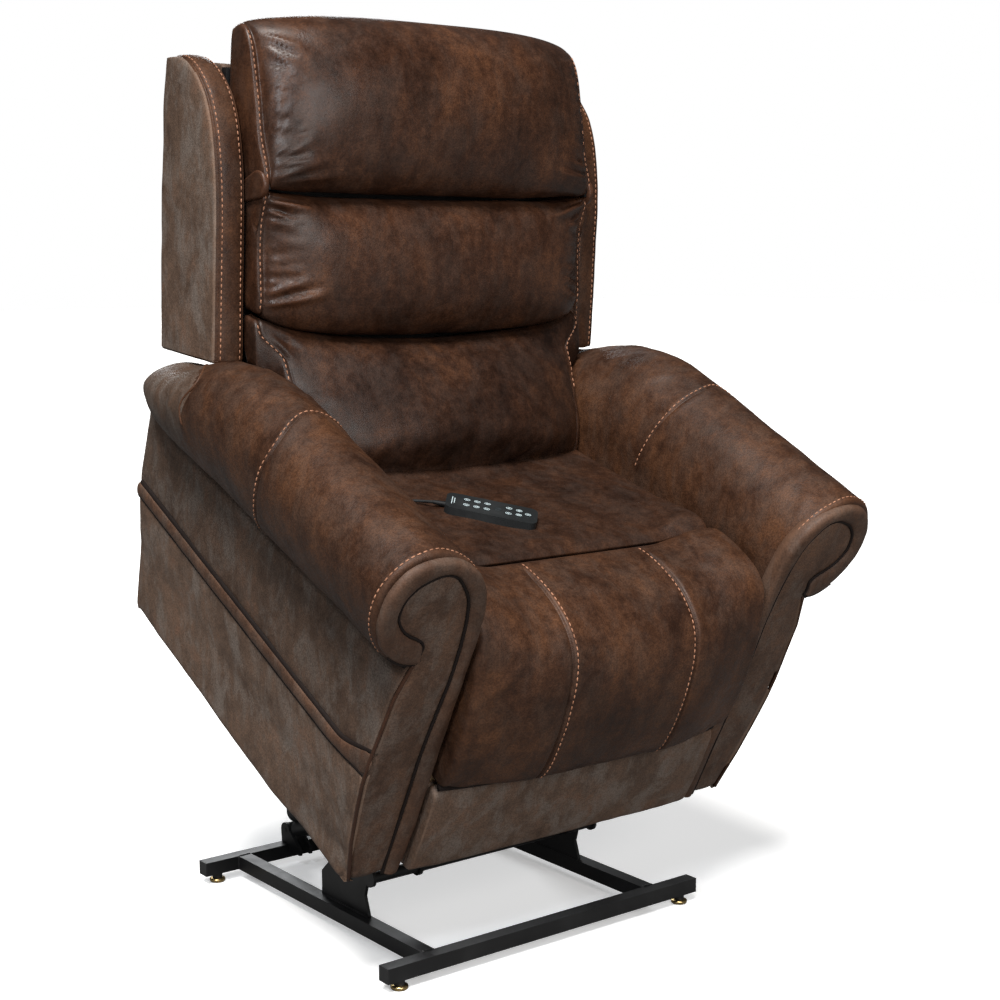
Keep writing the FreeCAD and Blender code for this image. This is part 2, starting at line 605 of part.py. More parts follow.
def handset():
    """A lower and an upper shell, with a pocket for each key; +X runs away from the cord."""
    long, wide = "Sizes.handset_long", "Sizes.handset_wide"
    half_long, half_wide = size("handset_long") / 2, size("handset_wide") / 2
    base_high = size("handset_base_high")
    base = block("HandsetBase", (long, wide, "Sizes.handset_base_high"),
                 (-half_long, -half_wide, 0))
    rounded = doc.addObject("Part::Fillet", "HandsetBaseRound")
    rounded.Base = base
    doc.recompute()
    rounded.Edges = [(number, 14.0, 14.0) for number in upright_edges(base.Shape)]
    node(rounded, "handset_base", CHAIR * HANDSET)
    top = block("HandsetTop", (long, wide, "Sizes.handset_top_high"),
                (-half_long, -half_wide, base_high))
    top_round = doc.addObject("Part::Fillet", "HandsetTopRound")
    top_round.Base = top
    doc.recompute()
    top_round.Edges = [(number, 14.0, 14.0) for number in upright_edges(top.Shape)]
    floor = base_high + size("handset_top_high") - 5.5
    pockets = []
    for x, y in key_places():
        gap = size("key_gap")
        pockets.append(block("KeyPocket", ("Sizes.key_long + 2 * Sizes.key_gap",
                                           "Sizes.key_wide + 2 * Sizes.key_gap", "8"),
                             (x - size("key_long") / 2 - gap, y - size("key_wide") / 2 - gap,
                              floor)))
    holes = join("KeyPockets", pockets)
    node(cut("HandsetTopShell", top_round, holes), "handset_top", CHAIR * HANDSET)
    for number, (x, y) in enumerate(key_places(), start=1):
        key = block("Key", ("Sizes.key_long", "Sizes.key_wide", "Sizes.key_high"),
                    (x - size("key_long") / 2, y - size("key_wide") / 2,
                     floor + size("key_travel") + 2.0))
        node(key, f"handset_key_{number:02d}", CHAIR * HANDSET)
    relief = doc.addObject("Part::Cone", "Relief")
    relief.setExpression("Radius1", "Sizes.relief_r")
    relief.setExpression("Radius2", "Sizes.cord_r + 0.6")
    relief.setExpression("Height", "Sizes.relief_long")
    local = Placement(Vector(-half_long, 0, base_high), Rotation(Vector(0, 0, 1), Vector(-1, 0, 0)))
    node(relief, "handset_strain_relief", CHAIR * HANDSET * local)


def upright_edges(shape):
    """Numbers of the edges that run along Z."""
    numbers = []
    for number, edge in enumerate(shape.Edges, start=1):
        way = edge.Vertexes[1].Point - edge.Vertexes[0].Point
        if abs(way.x) < 1e-6 and abs(way.y) < 1e-6:
            numbers.append(number)
    return numbers


# The cord's route from the strain relief to the grommet in the arm, in the chair's frame.
CORD_ROUTE = [(-161, 374, 437), (-183, 387, 431.5), (-209, 395, 430.0), (-236, 397, 430.5),
              (-262, 394, 433.5), (-284, 392, 437.5)]
GROMMET = (-298.0, 391.0, 440.0)


def cord():
    """Straight runs joined by tangent arcs, each as large as its runs allow."""
    exit_local = Vector(-size("handset_long") / 2 - size("relief_long"), 0,
                        size("handset_base_high"))
    points = [HANDSET.multVec(exit_local)] + [Vector(*point) for point in CORD_ROUTE]
    points.append(Vector(*GROMMET))
    edges, here = [], points[0]
    for before, corner, after in zip(points, points[1:], points[2:]):
        shorter = min((corner - before).Length, (after - corner).Length)
        way_in = (corner - before).normalize()
        way_out = (after - corner).normalize()
        turn = way_in.getAngle(way_out)
        radius = 0.45 * shorter / math.tan(turn / 2)
        first = corner - way_in * 0.45 * shorter
        last = corner + way_out * 0.45 * shorter
        inward = (way_out - way_in).normalize()
        middle = corner + inward * (radius / math.cos(turn / 2) - radius)
        edges.append(Part.LineSegment(here, first).toShape())
        edges.append(Part.Arc(first, middle, last).toShape())
        here = last
    edges.append(Part.LineSegment(here, points[-1]).toShape())
    path = Part.Wire(edges)
    section = Part.Wire(Part.Circle(points[0], points[1] - points[0], size("cord_r")).toShape())
    tube = path.makePipeShell([section], True, False)
    print("cord length", round(path.Length, 1))
    piece = doc.addObject("Part::Feature", "Cord")
    piece.Shape = tube
    node(piece, "handset_cord", CHAIR)
    ring = rod("Grommet", "Sizes.grommet_r", "Sizes.grommet_long", GROMMET, (-1, 0, 0))
    node(ring, "cord_grommet", CHAIR)


# ---------------------------------------------------------------- build and write

base_frame()
lift_brackets()
actuator_bracket()
lever_pin = lift_linkage()
actuator("lift", (size("base_depth"), size("clevis_z")), lever_pin, size("actuator_x"), BASE,
         300.0, 72.0)
chair_frame()
seat_box()
arms()
body_panels()
backrest()
footrest()
actuator("recline", RECLINE_CLEVIS, RECLINE_CRANK, size("recline_x"), CHAIR, 185.0, 64.0)
handset()
cord()
doc.recompute()

for item in doc.Objects:
    if {"Invalid", "Error"} & set(item.State):
        raise SystemExit(f"{item.Name} failed: {item.State}")
whole = None
os.makedirs("parts", exist_ok=True)
for piece in nodes:
    if piece.Shape.isNull() or not piece.Shape.isValid():
        raise SystemExit(f"{piece.Label} has no valid shape")
    piece.Shape.exportStep(f"parts/{piece.Label}.step")
    box = piece.Shape.BoundBox
    whole = box if whole is None else whole.united(box)
print(len(nodes), "nodes; box", [round(v, 1) for v in
      (whole.XMin, whole.XMax, whole.YMin, whole.YMax, whole.ZMin, whole.ZMax)])
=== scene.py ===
import json
import math

import bpy
import numpy as np
from mathutils import Matrix, Vector, kdtree, noise
from mathutils.bvhtree import BVHTree


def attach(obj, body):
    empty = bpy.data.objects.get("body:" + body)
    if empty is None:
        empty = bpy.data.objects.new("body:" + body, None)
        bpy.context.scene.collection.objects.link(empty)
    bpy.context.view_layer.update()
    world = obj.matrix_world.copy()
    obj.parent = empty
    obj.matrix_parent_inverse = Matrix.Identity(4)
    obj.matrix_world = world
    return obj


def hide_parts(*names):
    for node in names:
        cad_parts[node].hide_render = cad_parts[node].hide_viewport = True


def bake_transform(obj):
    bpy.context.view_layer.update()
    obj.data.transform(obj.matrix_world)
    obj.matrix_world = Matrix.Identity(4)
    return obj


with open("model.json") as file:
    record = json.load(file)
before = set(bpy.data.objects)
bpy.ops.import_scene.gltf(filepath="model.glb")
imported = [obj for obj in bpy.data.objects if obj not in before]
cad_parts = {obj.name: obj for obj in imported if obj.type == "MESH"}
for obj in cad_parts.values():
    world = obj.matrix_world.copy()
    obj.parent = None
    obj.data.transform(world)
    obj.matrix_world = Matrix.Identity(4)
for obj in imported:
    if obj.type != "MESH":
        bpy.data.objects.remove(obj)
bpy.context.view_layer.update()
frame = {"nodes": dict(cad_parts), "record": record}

SCENE = bpy.context.scene
SIDES = {"right": -1, "left": 1}


# ---------------------------------------------------------------- frames of reference
# Every shape below is worked out in millimetres, as x, y, z of the chair's own frame, and
# becomes metres in the model's frame when its mesh is made.

TILT = math.radians(27.0)
CHAIR_Y, CHAIR_Z, ORIGIN_BACK = 5.0, 191.0, 188.2
LEAN = math.radians(22.0)
RECLINE = (690.0, 330.0)
FOOT = (47.0, 358.0)


def chair(points):
    """Chair-frame millimetres to model metres."""
    p = np.asarray(points, float)
    y = CHAIR_Y - ORIGIN_BACK + p[..., 1] * math.cos(TILT) - p[..., 2] * math.sin(TILT)
    z = CHAIR_Z + p[..., 1] * math.sin(TILT) + p[..., 2] * math.cos(TILT)
    return np.stack([p[..., 0], y, z], axis=-1) / 1000


def unchair(points):
    """Model metres to chair-frame millimetres."""
    p = np.asarray(points, float) * 1000
    y, z = p[..., 1] + ORIGIN_BACK - CHAIR_Y, p[..., 2] - CHAIR_Z
    return np.stack([p[..., 0], y * math.cos(TILT) + z * math.sin(TILT),
                     -y * math.sin(TILT) + z * math.cos(TILT)], axis=-1)


def back(points):
    """(x, up the back, behind it) from the recline hinge to the chair's frame."""
    p = np.asarray(points, float)
    y = RECLINE[0] + p[..., 1] * math.sin(LEAN) + p[..., 2] * math.cos(LEAN)
    z = RECLINE[1] + p[..., 1] * math.cos(LEAN) - p[..., 2] * math.sin(LEAN)
    return np.stack([p[..., 0], y, z], axis=-1)


def unback(points):
    """The inverse of back: height up the back from its hinge line, and distance behind it."""
    p = np.asarray(points, float)
    y, z = p[..., 1] - RECLINE[0], p[..., 2] - RECLINE[1]
    return np.stack([p[..., 0], y * math.sin(LEAN) + z * math.cos(LEAN),
                     y * math.cos(LEAN) - z * math.sin(LEAN)], axis=-1)


# ---------------------------------------------------------------- camera and cord

def camera():
    """The viewpoint of the rest picture."""
    data = bpy.data.cameras.new("Camera")
    data.lens, data.sensor_width = 64.28, 36.0
    cam = bpy.data.objects.new("Camera", data)
    SCENE.collection.objects.link(cam)
    azimuth, elevation = math.radians(-38.08), math.radians(7.98)
    away = Vector((math.sin(azimuth) * math.cos(elevation),
                   -math.cos(azimuth) * math.cos(elevation), math.sin(elevation)))
    cam.rotation_mode = "QUATERNION"
    cam.rotation_quaternion = (-away).to_track_quat("-Z", "Y")
    cam.location = (-1.8357, -2.4008, 1.1559)
    SCENE.camera = cam


CORD_POINTS = [(-143.5, 359.4, 442.9), (-161, 374, 437), (-183, 387, 431.5), (-209, 395, 430),
               (-236, 397, 430.5), (-262, 394, 433.5), (-284, 392, 437.5), (-298, 391, 440)]


def handset_cord():
    """The cord from the handset down to its grommet, laid on the seat."""
    curve = bpy.data.curves.new("handset_lead", "CURVE")
    curve.dimensions = "3D"
    line = curve.splines.new("NURBS")
    route = chair(CORD_POINTS)
    line.points.add(len(route) - 1)
    for point, place in zip(line.points, route):
        point.co = (*place, 1)
    line.order_u = 3
    line.use_endpoint_u = True
    line.resolution_u = 12
    curve.bevel_depth = 0.0025
    curve.bevel_resolution = 5
    curve.materials.append(CORD)
    lead = bpy.data.objects.new("handset_lead", curve)
    SCENE.collection.objects.link(lead)
    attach(lead, "chair_body")
    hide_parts("handset_cord")


# ---------------------------------------------------------------- curves and meshes

def smoothstep(low, high, value):
    """0 below low, 1 above high, and a smooth ramp between."""
    t = np.clip((np.asarray(value, float) - low) / (high - low), 0, 1)
    return t * t * (3 - 2 * t)


def table(points, value):
    """Straight-line reading of a small table of (input, output) pairs."""
    xs, ys = zip(*points)
    return np.interp(value, xs, ys)


def curve_table(points, value):
    """Like table, with rounded corners."""
    dense = spline(points, 200)
    order = np.argsort(dense[:, 0], kind="stable")
    return np.interp(value, dense[order, 0], dense[order, 1])


def catmull(points, steps, closed=False):
    """A smooth line with so many points per span, so that two such lines match up."""
    p = np.asarray(points, float)
    p = np.vstack([p[-1], p, p[:2]]) if closed else np.vstack([2 * p[0] - p[1], p,
                                                               2 * p[-1] - p[-2]])
    t = np.linspace(0, 1, steps, endpoint=False)[:, None]
    spans = [0.5 * (2 * b + (c - a) * t + (2 * a - 5 * b + 4 * c - d) * t**2
                    + (3 * b - a - 3 * c + d) * t**3) for a, b, c, d in zip(p, p[1:], p[2:], p[3:])]
    return np.vstack(spans if closed else spans + [p[-2][None]])


def spline(points, count):
    """Evenly spaced points along a smooth line through the given ones."""
    return resample(catmull(points, 16), count)


def resample(points, count):
    """The same line with evenly spaced points."""
    run = np.concatenate([[0], np.cumsum(np.linalg.norm(np.diff(points, axis=0), axis=1))])
    wanted = np.linspace(0, run[-1], count)
    return np.stack([np.interp(wanted, run, points[:, k]) for k in range(points.shape[1])],
                    axis=1)


def place_mesh(name, metres, faces, material, body):
    """A smooth-shaded mesh object from model-frame points, on a body if one is named."""
    mesh = bpy.data.meshes.new(name)
    mesh.from_pydata(np.asarray(metres).tolist(), [], faces)
    mesh.polygons.foreach_set("use_smooth", [True] * len(mesh.polygons))
    mesh.materials.append(material)
    mesh.update()
    piece = bpy.data.objects.new(name, mesh)
    SCENE.collection.objects.link(piece)
    if body:
        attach(piece, body)
    return piece


def add_mesh(name, vertices, faces, material, body=None, slot=None, replaces=()):
    """A smooth-shaded mesh object from chair-frame points."""
    piece = place_mesh(name, chair(vertices), faces, material, body)
    if replaces:
        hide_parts(*replaces)
    return piece


def ring_faces(rows, columns, start=0):
    """Quads between neighbouring rings of points."""
    faces = []
    for low in range(start, start + (rows - 1) * columns, columns):
        for j in range(columns):
            k = (j + 1) % columns
            faces.append((low + j, low + k, low + columns + k, low + columns + j))
    return faces


def closed_faces(rows, columns, start=0):
    """Quads between neighbouring rings, and a flat face over the first and last."""
    last = start + (rows - 1) * columns
    return ring_faces(rows, columns, start) + [tuple(range(start, start + columns))[::-1],
                                               tuple(range(last, last + columns))]


def loft(name, rings, material, **rest):
    """A closed form through rings of points (rows, columns, 3), with flat ends."""
    rings = np.asarray(rings, float)
    piece = add_mesh(name, rings.reshape(-1, 3), closed_faces(*rings.shape[:2]), material, **rest)
    outward(piece)
    return piece


def second_finish(piece, material, chosen):
    """Give the faces whose chair-frame centre is chosen another leather."""
    piece.data.materials.append(material)
    co = unchair(read(piece))
    for polygon in piece.data.polygons:
        if chosen(co[list(polygon.vertices)].mean(axis=0)):
            polygon.material_index = 1


def outward(piece):
    """Turn a closed mesh's faces outward."""
    co = read(piece)
    volume = 0.0
    for polygon in piece.data.polygons:
        corner = co[list(polygon.vertices)]
        for a, b in zip(corner[1:], corner[2:]):
            volume += np.dot(corner[0], np.cross(a, b))
    if volume < 0:
        piece.data.flip_normals()


def read(piece):
    """A piece's vertices, in model metres."""
    co = np.empty(len(piece.data.vertices) * 3)
    piece.data.vertices.foreach_get("co", co)
    return co.reshape(-1, 3)


def write(piece, co):
    """Put a piece's vertices back."""
    piece.data.vertices.foreach_set("co", np.asarray(co, np.float32).ravel())
    piece.data.update()


def normals(piece):
    """A piece's vertex normals."""
    n = np.empty(len(piece.data.vertices) * 3, np.float32)
    piece.data.vertices.foreach_get("normal", n)
    return n.reshape(-1, 3)


def push(piece, amount):
    """Move each vertex along its normal by so many millimetres."""
    write(piece, read(piece) + normals(piece) * (np.asarray(amount) / 1000)[:, None])


def bumps(points, size, seed=0.0):
    """Smooth noise of about -1 to 1 whose lumps are so many millimetres across."""
    return np.array([noise.noise(Vector(p) / size + Vector((seed, seed * 1.7, seed * 0.3)))
                     for p in points])


def lumps(points, *waves):
    """Waves of smooth noise added up, each given as (height, size, seed)."""
    return sum(height * bumps(points, size, seed) for height, size, seed in waves)


def fold(flat, start, end, width, sharp=2.0):
    """How near each flat point is to a fold's line, 1 on it, fading at both its ends."""
    a, b = np.array(start, float), np.array(end, float)
    run = b - a
    t = np.clip(((flat - a) @ run) / (run @ run), 0, 1)
    off = np.linalg.norm(flat - (a + t[:, None] * run), axis=1)
    return np.exp(-(off / width) ** sharp) * np.sin(math.pi * np.clip(t, 0.02, 0.98)) ** 0.5


def folds(flat, lines, sharp=2.0):
    """The height of several folds together, each given as (start, end, width, height)."""
    return sum(fold(flat, start, end, width, sharp) * high for start, end, width, high in lines)


# ---------------------------------------------------------------- cushions swelled by cloth

CLOTH_VOXEL, CLOTH_STEPS = 0.006, 20


def swell(piece, hold, pressure, cap):
    """Blow a padded piece up as cloth and carry the movement over to its own mesh.

    hold gives, for chair-frame points, how firmly each is sewn down, from 0 to 1; cap is the
    largest movement in millimetres."""
    copy = piece.copy()
    copy.data = piece.data.copy()
    copy.parent = None
    SCENE.collection.objects.link(copy)
    bpy.context.view_layer.objects.active = copy
    remesh = copy.modifiers.new("Voxels", "REMESH")
    remesh.mode, remesh.voxel_size = "VOXEL", CLOTH_VOXEL
    bpy.ops.object.modifier_apply(modifier=remesh.name)
    before = read(copy)
    pins = copy.vertex_groups.new(name="sewn")
    for index, weight in enumerate(hold(unchair(before))):
        if weight > 0.01:
            pins.add([index], float(min(weight, 1)), "REPLACE")
    cloth = copy.modifiers.new("Cloth", "CLOTH")
    cloth.settings.effector_weights.gravity = 0
    for key, value in (("quality", 4), ("mass", 0.3), ("tension_stiffness", 18),
                       ("compression_stiffness", 14), ("bending_stiffness", 2.5),
                       ("use_pressure", True), ("uniform_pressure_force", pressure),
                       ("vertex_group_mass", pins.name)):
        setattr(cloth.settings, key, value)
    cloth.point_cache.frame_start, cloth.point_cache.frame_end = 1, CLOTH_STEPS
    for number in range(1, CLOTH_STEPS + 1):
        SCENE.frame_set(number)
    bpy.ops.object.modifier_apply(modifier=cloth.name)
    moved = (read(copy) - before) * 1000
    far = np.linalg.norm(moved, axis=1, keepdims=True)
    moved *= np.minimum(1, cap / np.maximum(far, 1e-6))
    tree = kdtree.KDTree(len(before))
    for index, place in enumerate(before):
        tree.insert(place, index)
    tree.balance()
    co = read(piece)
    shift = np.zeros_like(co)
    for index, place in enumerate(co):
        near = tree.find_n(place, 6)
        weight = np.array([1 / (found[2] + 0.001) for found in near])
        shift[index] = (moved[[found[1] for found in near]] * weight[:, None]).sum(0)
        shift[index] /= weight.sum()
    write(piece, co + shift / 1000)
    bpy.data.objects.remove(copy)
    SCENE.frame_set(1)


# ---------------------------------------------------------------- stitches and welts

def along(path, spacing):
    """Points and directions every so many millimetres along a path."""
    run = np.linalg.norm(np.diff(path, axis=0), axis=1).sum()
    count = max(2, int(run / spacing))
    fine = resample(path, count * 2 + 1)
    return fine[1::2], fine[2::2] - fine[:-1:2]


STITCH_SPACING, STITCH_LONG, STITCH_WIDE = 9.7, 0.0064, 0.0024
STITCH_SIDES = 6
STITCH_OUTLINE = [(-1.0, 0.25), (-0.8, 0.8), (0, 1.0), (0.8, 0.8), (1.0, 0.25)]


def stitches(name, path, piece, body, way=None):
    """Short raised dashes of thread along a chair-frame path, laid on a piece's surface."""
    places, ways = along(np.asarray(path, float), STITCH_SPACING)
    vertices, faces = [], []
    hits, ups = on_surface(places, piece, way)
    for hit, normal, along_path in zip(hits, ups, chair(ways) - chair(np.zeros(3))):
        hit, normal, forward = Vector(hit), Vector(normal), Vector(along_path)
        forward = (forward - normal * forward.dot(normal)).normalized()
        beside = normal.cross(forward)
        faces += closed_faces(len(STITCH_OUTLINE), STITCH_SIDES, len(vertices))
        for t, full in STITCH_OUTLINE:
            for turn in np.linspace(0, math.tau, STITCH_SIDES, False):
                vertices.append(hit + forward * (t * STITCH_LONG / 2)
                                + beside * (math.cos(turn) * full * STITCH_WIDE / 2)
                                + normal * ((math.sin(turn) * 0.45 * full + 0.12) * STITCH_WIDE))
    place_mesh(name, vertices, faces, THREAD, body)


def on_surface(path, piece, way=None):
    """The places on a piece nearest to the path, or seen from it along way, in model metres, and
    the normals there."""
    tree = BVHTree.FromObject(piece, bpy.context.evaluated_depsgraph_get())
    found = []
    for place in chair(path):
        hit = tree.ray_cast(Vector(place) - way * 0.06, way) if way else (None,)
        found.append((hit if hit[0] else tree.find_nearest(Vector(place)))[:2])
    return tuple(np.array(list(zip(*found))))


def piping(name, path, piece, body, wide, high, material):
    """A thin raised seam laid along a piece's surface."""
    hits, ups = on_surface(path, piece)
    ways = np.gradient(hits, axis=0)
    ways /= np.linalg.norm(ways, axis=1, keepdims=True)
    beside = np.cross(ups, ways)
    beside /= np.linalg.norm(beside, axis=1, keepdims=True)
    rings = []
    for a in range(10):
        turn = math.tau * a / 10
        rings.append(hits + beside * math.cos(turn) * wide / 2000
                     + ups * math.sin(turn) * high / 1000)
    rings = np.stack(rings, axis=1)
    taper = np.ones(len(hits))
    taper[[0, -1]] = 0.25
    centre = rings.mean(axis=1, keepdims=True)
    rings = centre + (rings - centre) * taper[:, None, None]
    loft(name, unchair(rings), material, body=body, slot="leather")


def shade_tube(name, path, radius, across, material, body="chair_body"):
    """A near-black tube along a groove or under an overhang, painted shade where shadow falls;
    across is a way off its path.
    """
    path = np.asarray(path, float)
    ways = np.gradient(path, axis=0)
    ways /= np.linalg.norm(ways, axis=1, keepdims=True)
    beside = np.cross(ways, across)
    beside /= np.linalg.norm(beside, axis=1, keepdims=True)
    up = np.cross(beside, ways)
    rings = [path + radius * (beside * math.cos(a) + up * math.sin(a))
             for a in np.linspace(0, math.tau, 8, False)]
    loft(name, np.stack(rings, axis=1), material, body=body, slot="leather_panel")


# ---------------------------------------------------------------- materials

class Nodes:
    """A short way to write a node material."""

    def __init__(self, name):
        self.material = bpy.data.materials.new(name)
        self.material.use_nodes = True
        self.tree = self.material.node_tree
        self.tree.nodes.clear()
        self.output = self.add("ShaderNodeOutputMaterial")
        self.shader = self.add("ShaderNodeBsdfPrincipled")
        self.link(self.shader.outputs[0], self.output.inputs["Surface"])
        self.place = self.add("ShaderNodeTexCoord").outputs["Object"]

    def add(self, kind, **settings):
        """Make a node and set its properties."""
        made = self.tree.nodes.new(kind)
        for key, value in settings.items():
            setattr(made, key, value)
        return made

    def link(self, source, target):
        self.tree.links.new(source, target)

    def stretched(self, scale, turn=(0, 0, 0)):
        """Object coordinates, scaled and turned."""
        mapping = self.add("ShaderNodeMapping")
        self.link(self.place, mapping.inputs["Vector"])
        mapping.inputs["Scale"].default_value = scale
        mapping.inputs["Rotation"].default_value = turn
        return mapping.outputs[0]

    def noise(self, scale, detail=4.0, rough=0.55, warp=0.0, where=None):
        """A noise texture's grey value."""
        made = self.add("ShaderNodeTexNoise")
        self.link(where or self.place, made.inputs["Vector"])
        made.inputs["Scale"].default_value = scale
        made.inputs["Detail"].default_value = detail
        made.inputs["Roughness"].default_value = rough
        made.inputs["Distortion"].default_value = warp
        return made.outputs["Fac"]

    def spread(self, source, low, high, out_low=0.0, out_high=1.0):
        """Map a range smoothly to another."""
        made = self.add("ShaderNodeMapRange", interpolation_type="SMOOTHSTEP")
        self.link(source, made.inputs["Value"])
        for key, value in (("From Min", low), ("From Max", high), ("To Min", out_low),
                           ("To Max", out_high)):
            made.inputs[key].default_value = value
        return made.outputs[0]

    def blend(self, amount, first, second, kind="MIX"):
        """Mix two colours or sockets."""
        made = self.add("ShaderNodeMix", data_type="RGBA", blend_type=kind)
        for socket, value in ((made.inputs[0], amount), (made.inputs[6], first),
                              (made.inputs[7], second)):
            if isinstance(value, bpy.types.NodeSocket):
                self.link(value, socket)
            else:
                socket.default_value = value if isinstance(value, float) else (*value, 1)
        return made.outputs[2]

    def sums(self, kind, first, second):
        """One math node."""
        made = self.add("ShaderNodeMath", operation=kind)
        for socket, value in zip(made.inputs, (first, second)):
            if isinstance(value, bpy.types.NodeSocket):
                self.link(value, socket)
            else:
                socket.default_value = value
        return made.outputs[0]

    def bump(self, height, strength, distance, under=None):
        """A normal from a height, on top of the one under it."""
        made = self.add("ShaderNodeBump")
        made.inputs["Strength"].default_value = strength
        made.inputs["Distance"].default_value = distance
        self.link(height, made.inputs["Height"])
        if under is not None:
            self.link(under, made.inputs["Normal"])
        return made.outputs[0]

    def set(self, **sockets):
        """Set or link the shader's inputs, with _ for a space."""
        for name, value in sockets.items():
            socket = self.shader.inputs[name.replace("_", " ")]
            if isinstance(value, bpy.types.NodeSocket):
                self.link(value, socket)
            else:
                socket.default_value = value


def leather(name, dark, middle, rust, grey, greyness, rough, gloss=0.0, streak=(16, 16, 7)):
    """Distressed leather: dark ground, rubbed brown and rust clouds, and a grey bloom."""
    n = Nodes(name)
    clouds = n.noise(6.0, 5.0, 0.6, 0.4)
    brushed = n.noise(1.0, 6.0, 0.66, 0.4, n.stretched(streak, (0.5, 0.1, 0.2)))
    small = n.noise(62.0, 5.0, 0.68, 0.3)
    fine = n.noise(340.0, 3.0, 0.6)
    mixed = n.sums("ADD", n.sums("MULTIPLY", clouds, 0.42), n.sums("MULTIPLY", brushed, 0.58))
    mixed = n.sums("ADD", mixed, n.sums("MULTIPLY", n.sums("SUBTRACT", small, 0.5), 0.42))
    colour = n.blend(n.spread(mixed, 0.28, 0.60), dark, middle)
    colour = n.blend(n.spread(mixed, 0.48, 0.78, 0.0, 0.9), colour, rust)
    bloom = n.noise(1.0, 7.0, 0.70, 0.5, n.stretched((24, 24, 12), (0.3, 0.4, 0.1)))
    colour = n.blend(n.spread(bloom, 0.42, 0.66, 0.0, greyness), colour, grey)
    colour = n.blend(n.spread(fine, 0.36, 0.62, 0.42, 0.0), colour,
                     tuple(c * 0.5 for c in dark))
    # Sharp convex edges are lighter: partly rubbed wear, partly a painted edge highlight.
    wear = n.spread(n.add("ShaderNodeNewGeometry").outputs["Pointiness"], 0.515, 0.56, 0.0, 0.4)
    colour = n.blend(wear, colour, tuple(min(1, c * 1.9) for c in middle))
    cells = n.add("ShaderNodeTexVoronoi", feature="SMOOTH_F1")
    n.link(n.place, cells.inputs["Vector"])
    cells.inputs["Scale"].default_value = 520.0
    cells.inputs["Smoothness"].default_value = 0.6
    creases = n.noise(95.0, 6.0, 0.7, 1.2)
    normal = n.bump(cells.outputs["Distance"], 0.22, 0.0009)
    normal = n.bump(creases, 0.3, 0.0018, normal)
    normal = n.bump(n.noise(21.0, 3.0, 0.5, 0.6), 0.25, 0.004, normal)
    n.set(Base_Color=colour, Normal=normal, Coat_Weight=gloss, Coat_Roughness=0.30,
          Roughness=n.spread(n.sums("ADD", n.sums("MULTIPLY", small, 0.5),
                                    n.sums("MULTIPLY", bloom, 0.5)), 0.35, 0.65,
                             rough - 0.09, rough + 0.12))
    n.shader.inputs["Specular IOR Level"].default_value = 0.24
    return n.material


def thread():
    """Twisted reddish thread for the stitches."""
    n = Nodes("stitch_thread")
    twist = n.add("ShaderNodeTexWave", wave_type="BANDS", bands_direction="DIAGONAL")
    n.link(n.place, twist.inputs["Vector"])
    twist.inputs["Scale"].default_value = 420.0
    tint = n.noise(60.0, 3.0)
    n.set(Base_Color=n.blend(n.spread(tint, 0.35, 0.65), (0.24, 0.105, 0.055),
                             (0.42, 0.20, 0.115)),
          Roughness=0.7, Normal=n.bump(twist.outputs["Fac"], 0.4, 0.0003))
    return n.material


def painted(name, colour, rough, grain=900.0, dust=0.02, metal=0.0):
    """Powder coat or paint: fine orange peel, dulled here and there."""
    n = Nodes(name)
    peel = n.noise(grain, 2.0)
    smear = n.noise(14.0, 5.0, 0.6, 0.3)
    light = tuple(min(1, c + dust) for c in colour)
    n.set(Base_Color=n.blend(n.spread(smear, 0.4, 0.75), colour, light), Metallic=metal,
          Roughness=n.spread(smear, 0.3, 0.7, rough - 0.06, rough + 0.1),
          Normal=n.bump(peel, 0.12, 0.0003))
    return n.material


def metal(name, colour, rough, brush=(900, 900, 30)):
    """Bare metal with fine brushing and faint stains."""
    n = Nodes(name)
    lines = n.noise(1.0, 2.0, 0.5, 0.0, n.stretched(brush))
    stain = n.noise(30.0, 5.0, 0.6, 0.5)
    dull = tuple(c * 0.6 for c in colour)
    n.set(Base_Color=n.blend(n.spread(stain, 0.45, 0.75), colour, dull), Metallic=1.0,
          Roughness=n.spread(lines, 0.3, 0.7, rough - 0.06, rough + 0.1),
          Normal=n.bump(lines, 0.15, 0.0002))
    return n.material


def wood():
    """Raw plywood with faint plies."""
    n = Nodes("raw_plywood")
    grain = n.noise(1.0, 6.0, 0.6, 0.8, n.stretched((60, 5, 60)))
    plies = n.add("ShaderNodeTexWave", wave_type="BANDS", bands_direction="Z")
    n.link(n.place, plies.inputs["Vector"])
    plies.inputs["Scale"].default_value = 110.0
    plies.inputs["Distortion"].default_value = 1.5
    tone = n.blend(n.spread(grain, 0.35, 0.7), (0.42, 0.27, 0.14), (0.60, 0.43, 0.26))
    n.set(Base_Color=n.blend(n.sums("MULTIPLY", plies.outputs["Fac"], 0.25), tone,
                             (0.30, 0.18, 0.09)),
          Roughness=0.75, Normal=n.bump(grain, 0.3, 0.001))
    return n.material


def rubber(name, colour, rough):
    """Matt rubber, lighter where it is worn."""
    n = Nodes(name)
    speck = n.noise(700.0, 3.0)
    wear = n.noise(40.0, 4.0, 0.6, 0.4)
    light = tuple(min(1, c * 1.6 + 0.01) for c in colour)
    n.set(Base_Color=n.blend(n.spread(wear, 0.4, 0.75), colour, light),
          Roughness=n.spread(wear, 0.3, 0.7, rough - 0.05, rough + 0.1),
          Normal=n.bump(speck, 0.25, 0.0002))
    n.shader.inputs["Specular IOR Level"].default_value = 0.25
    return n.material


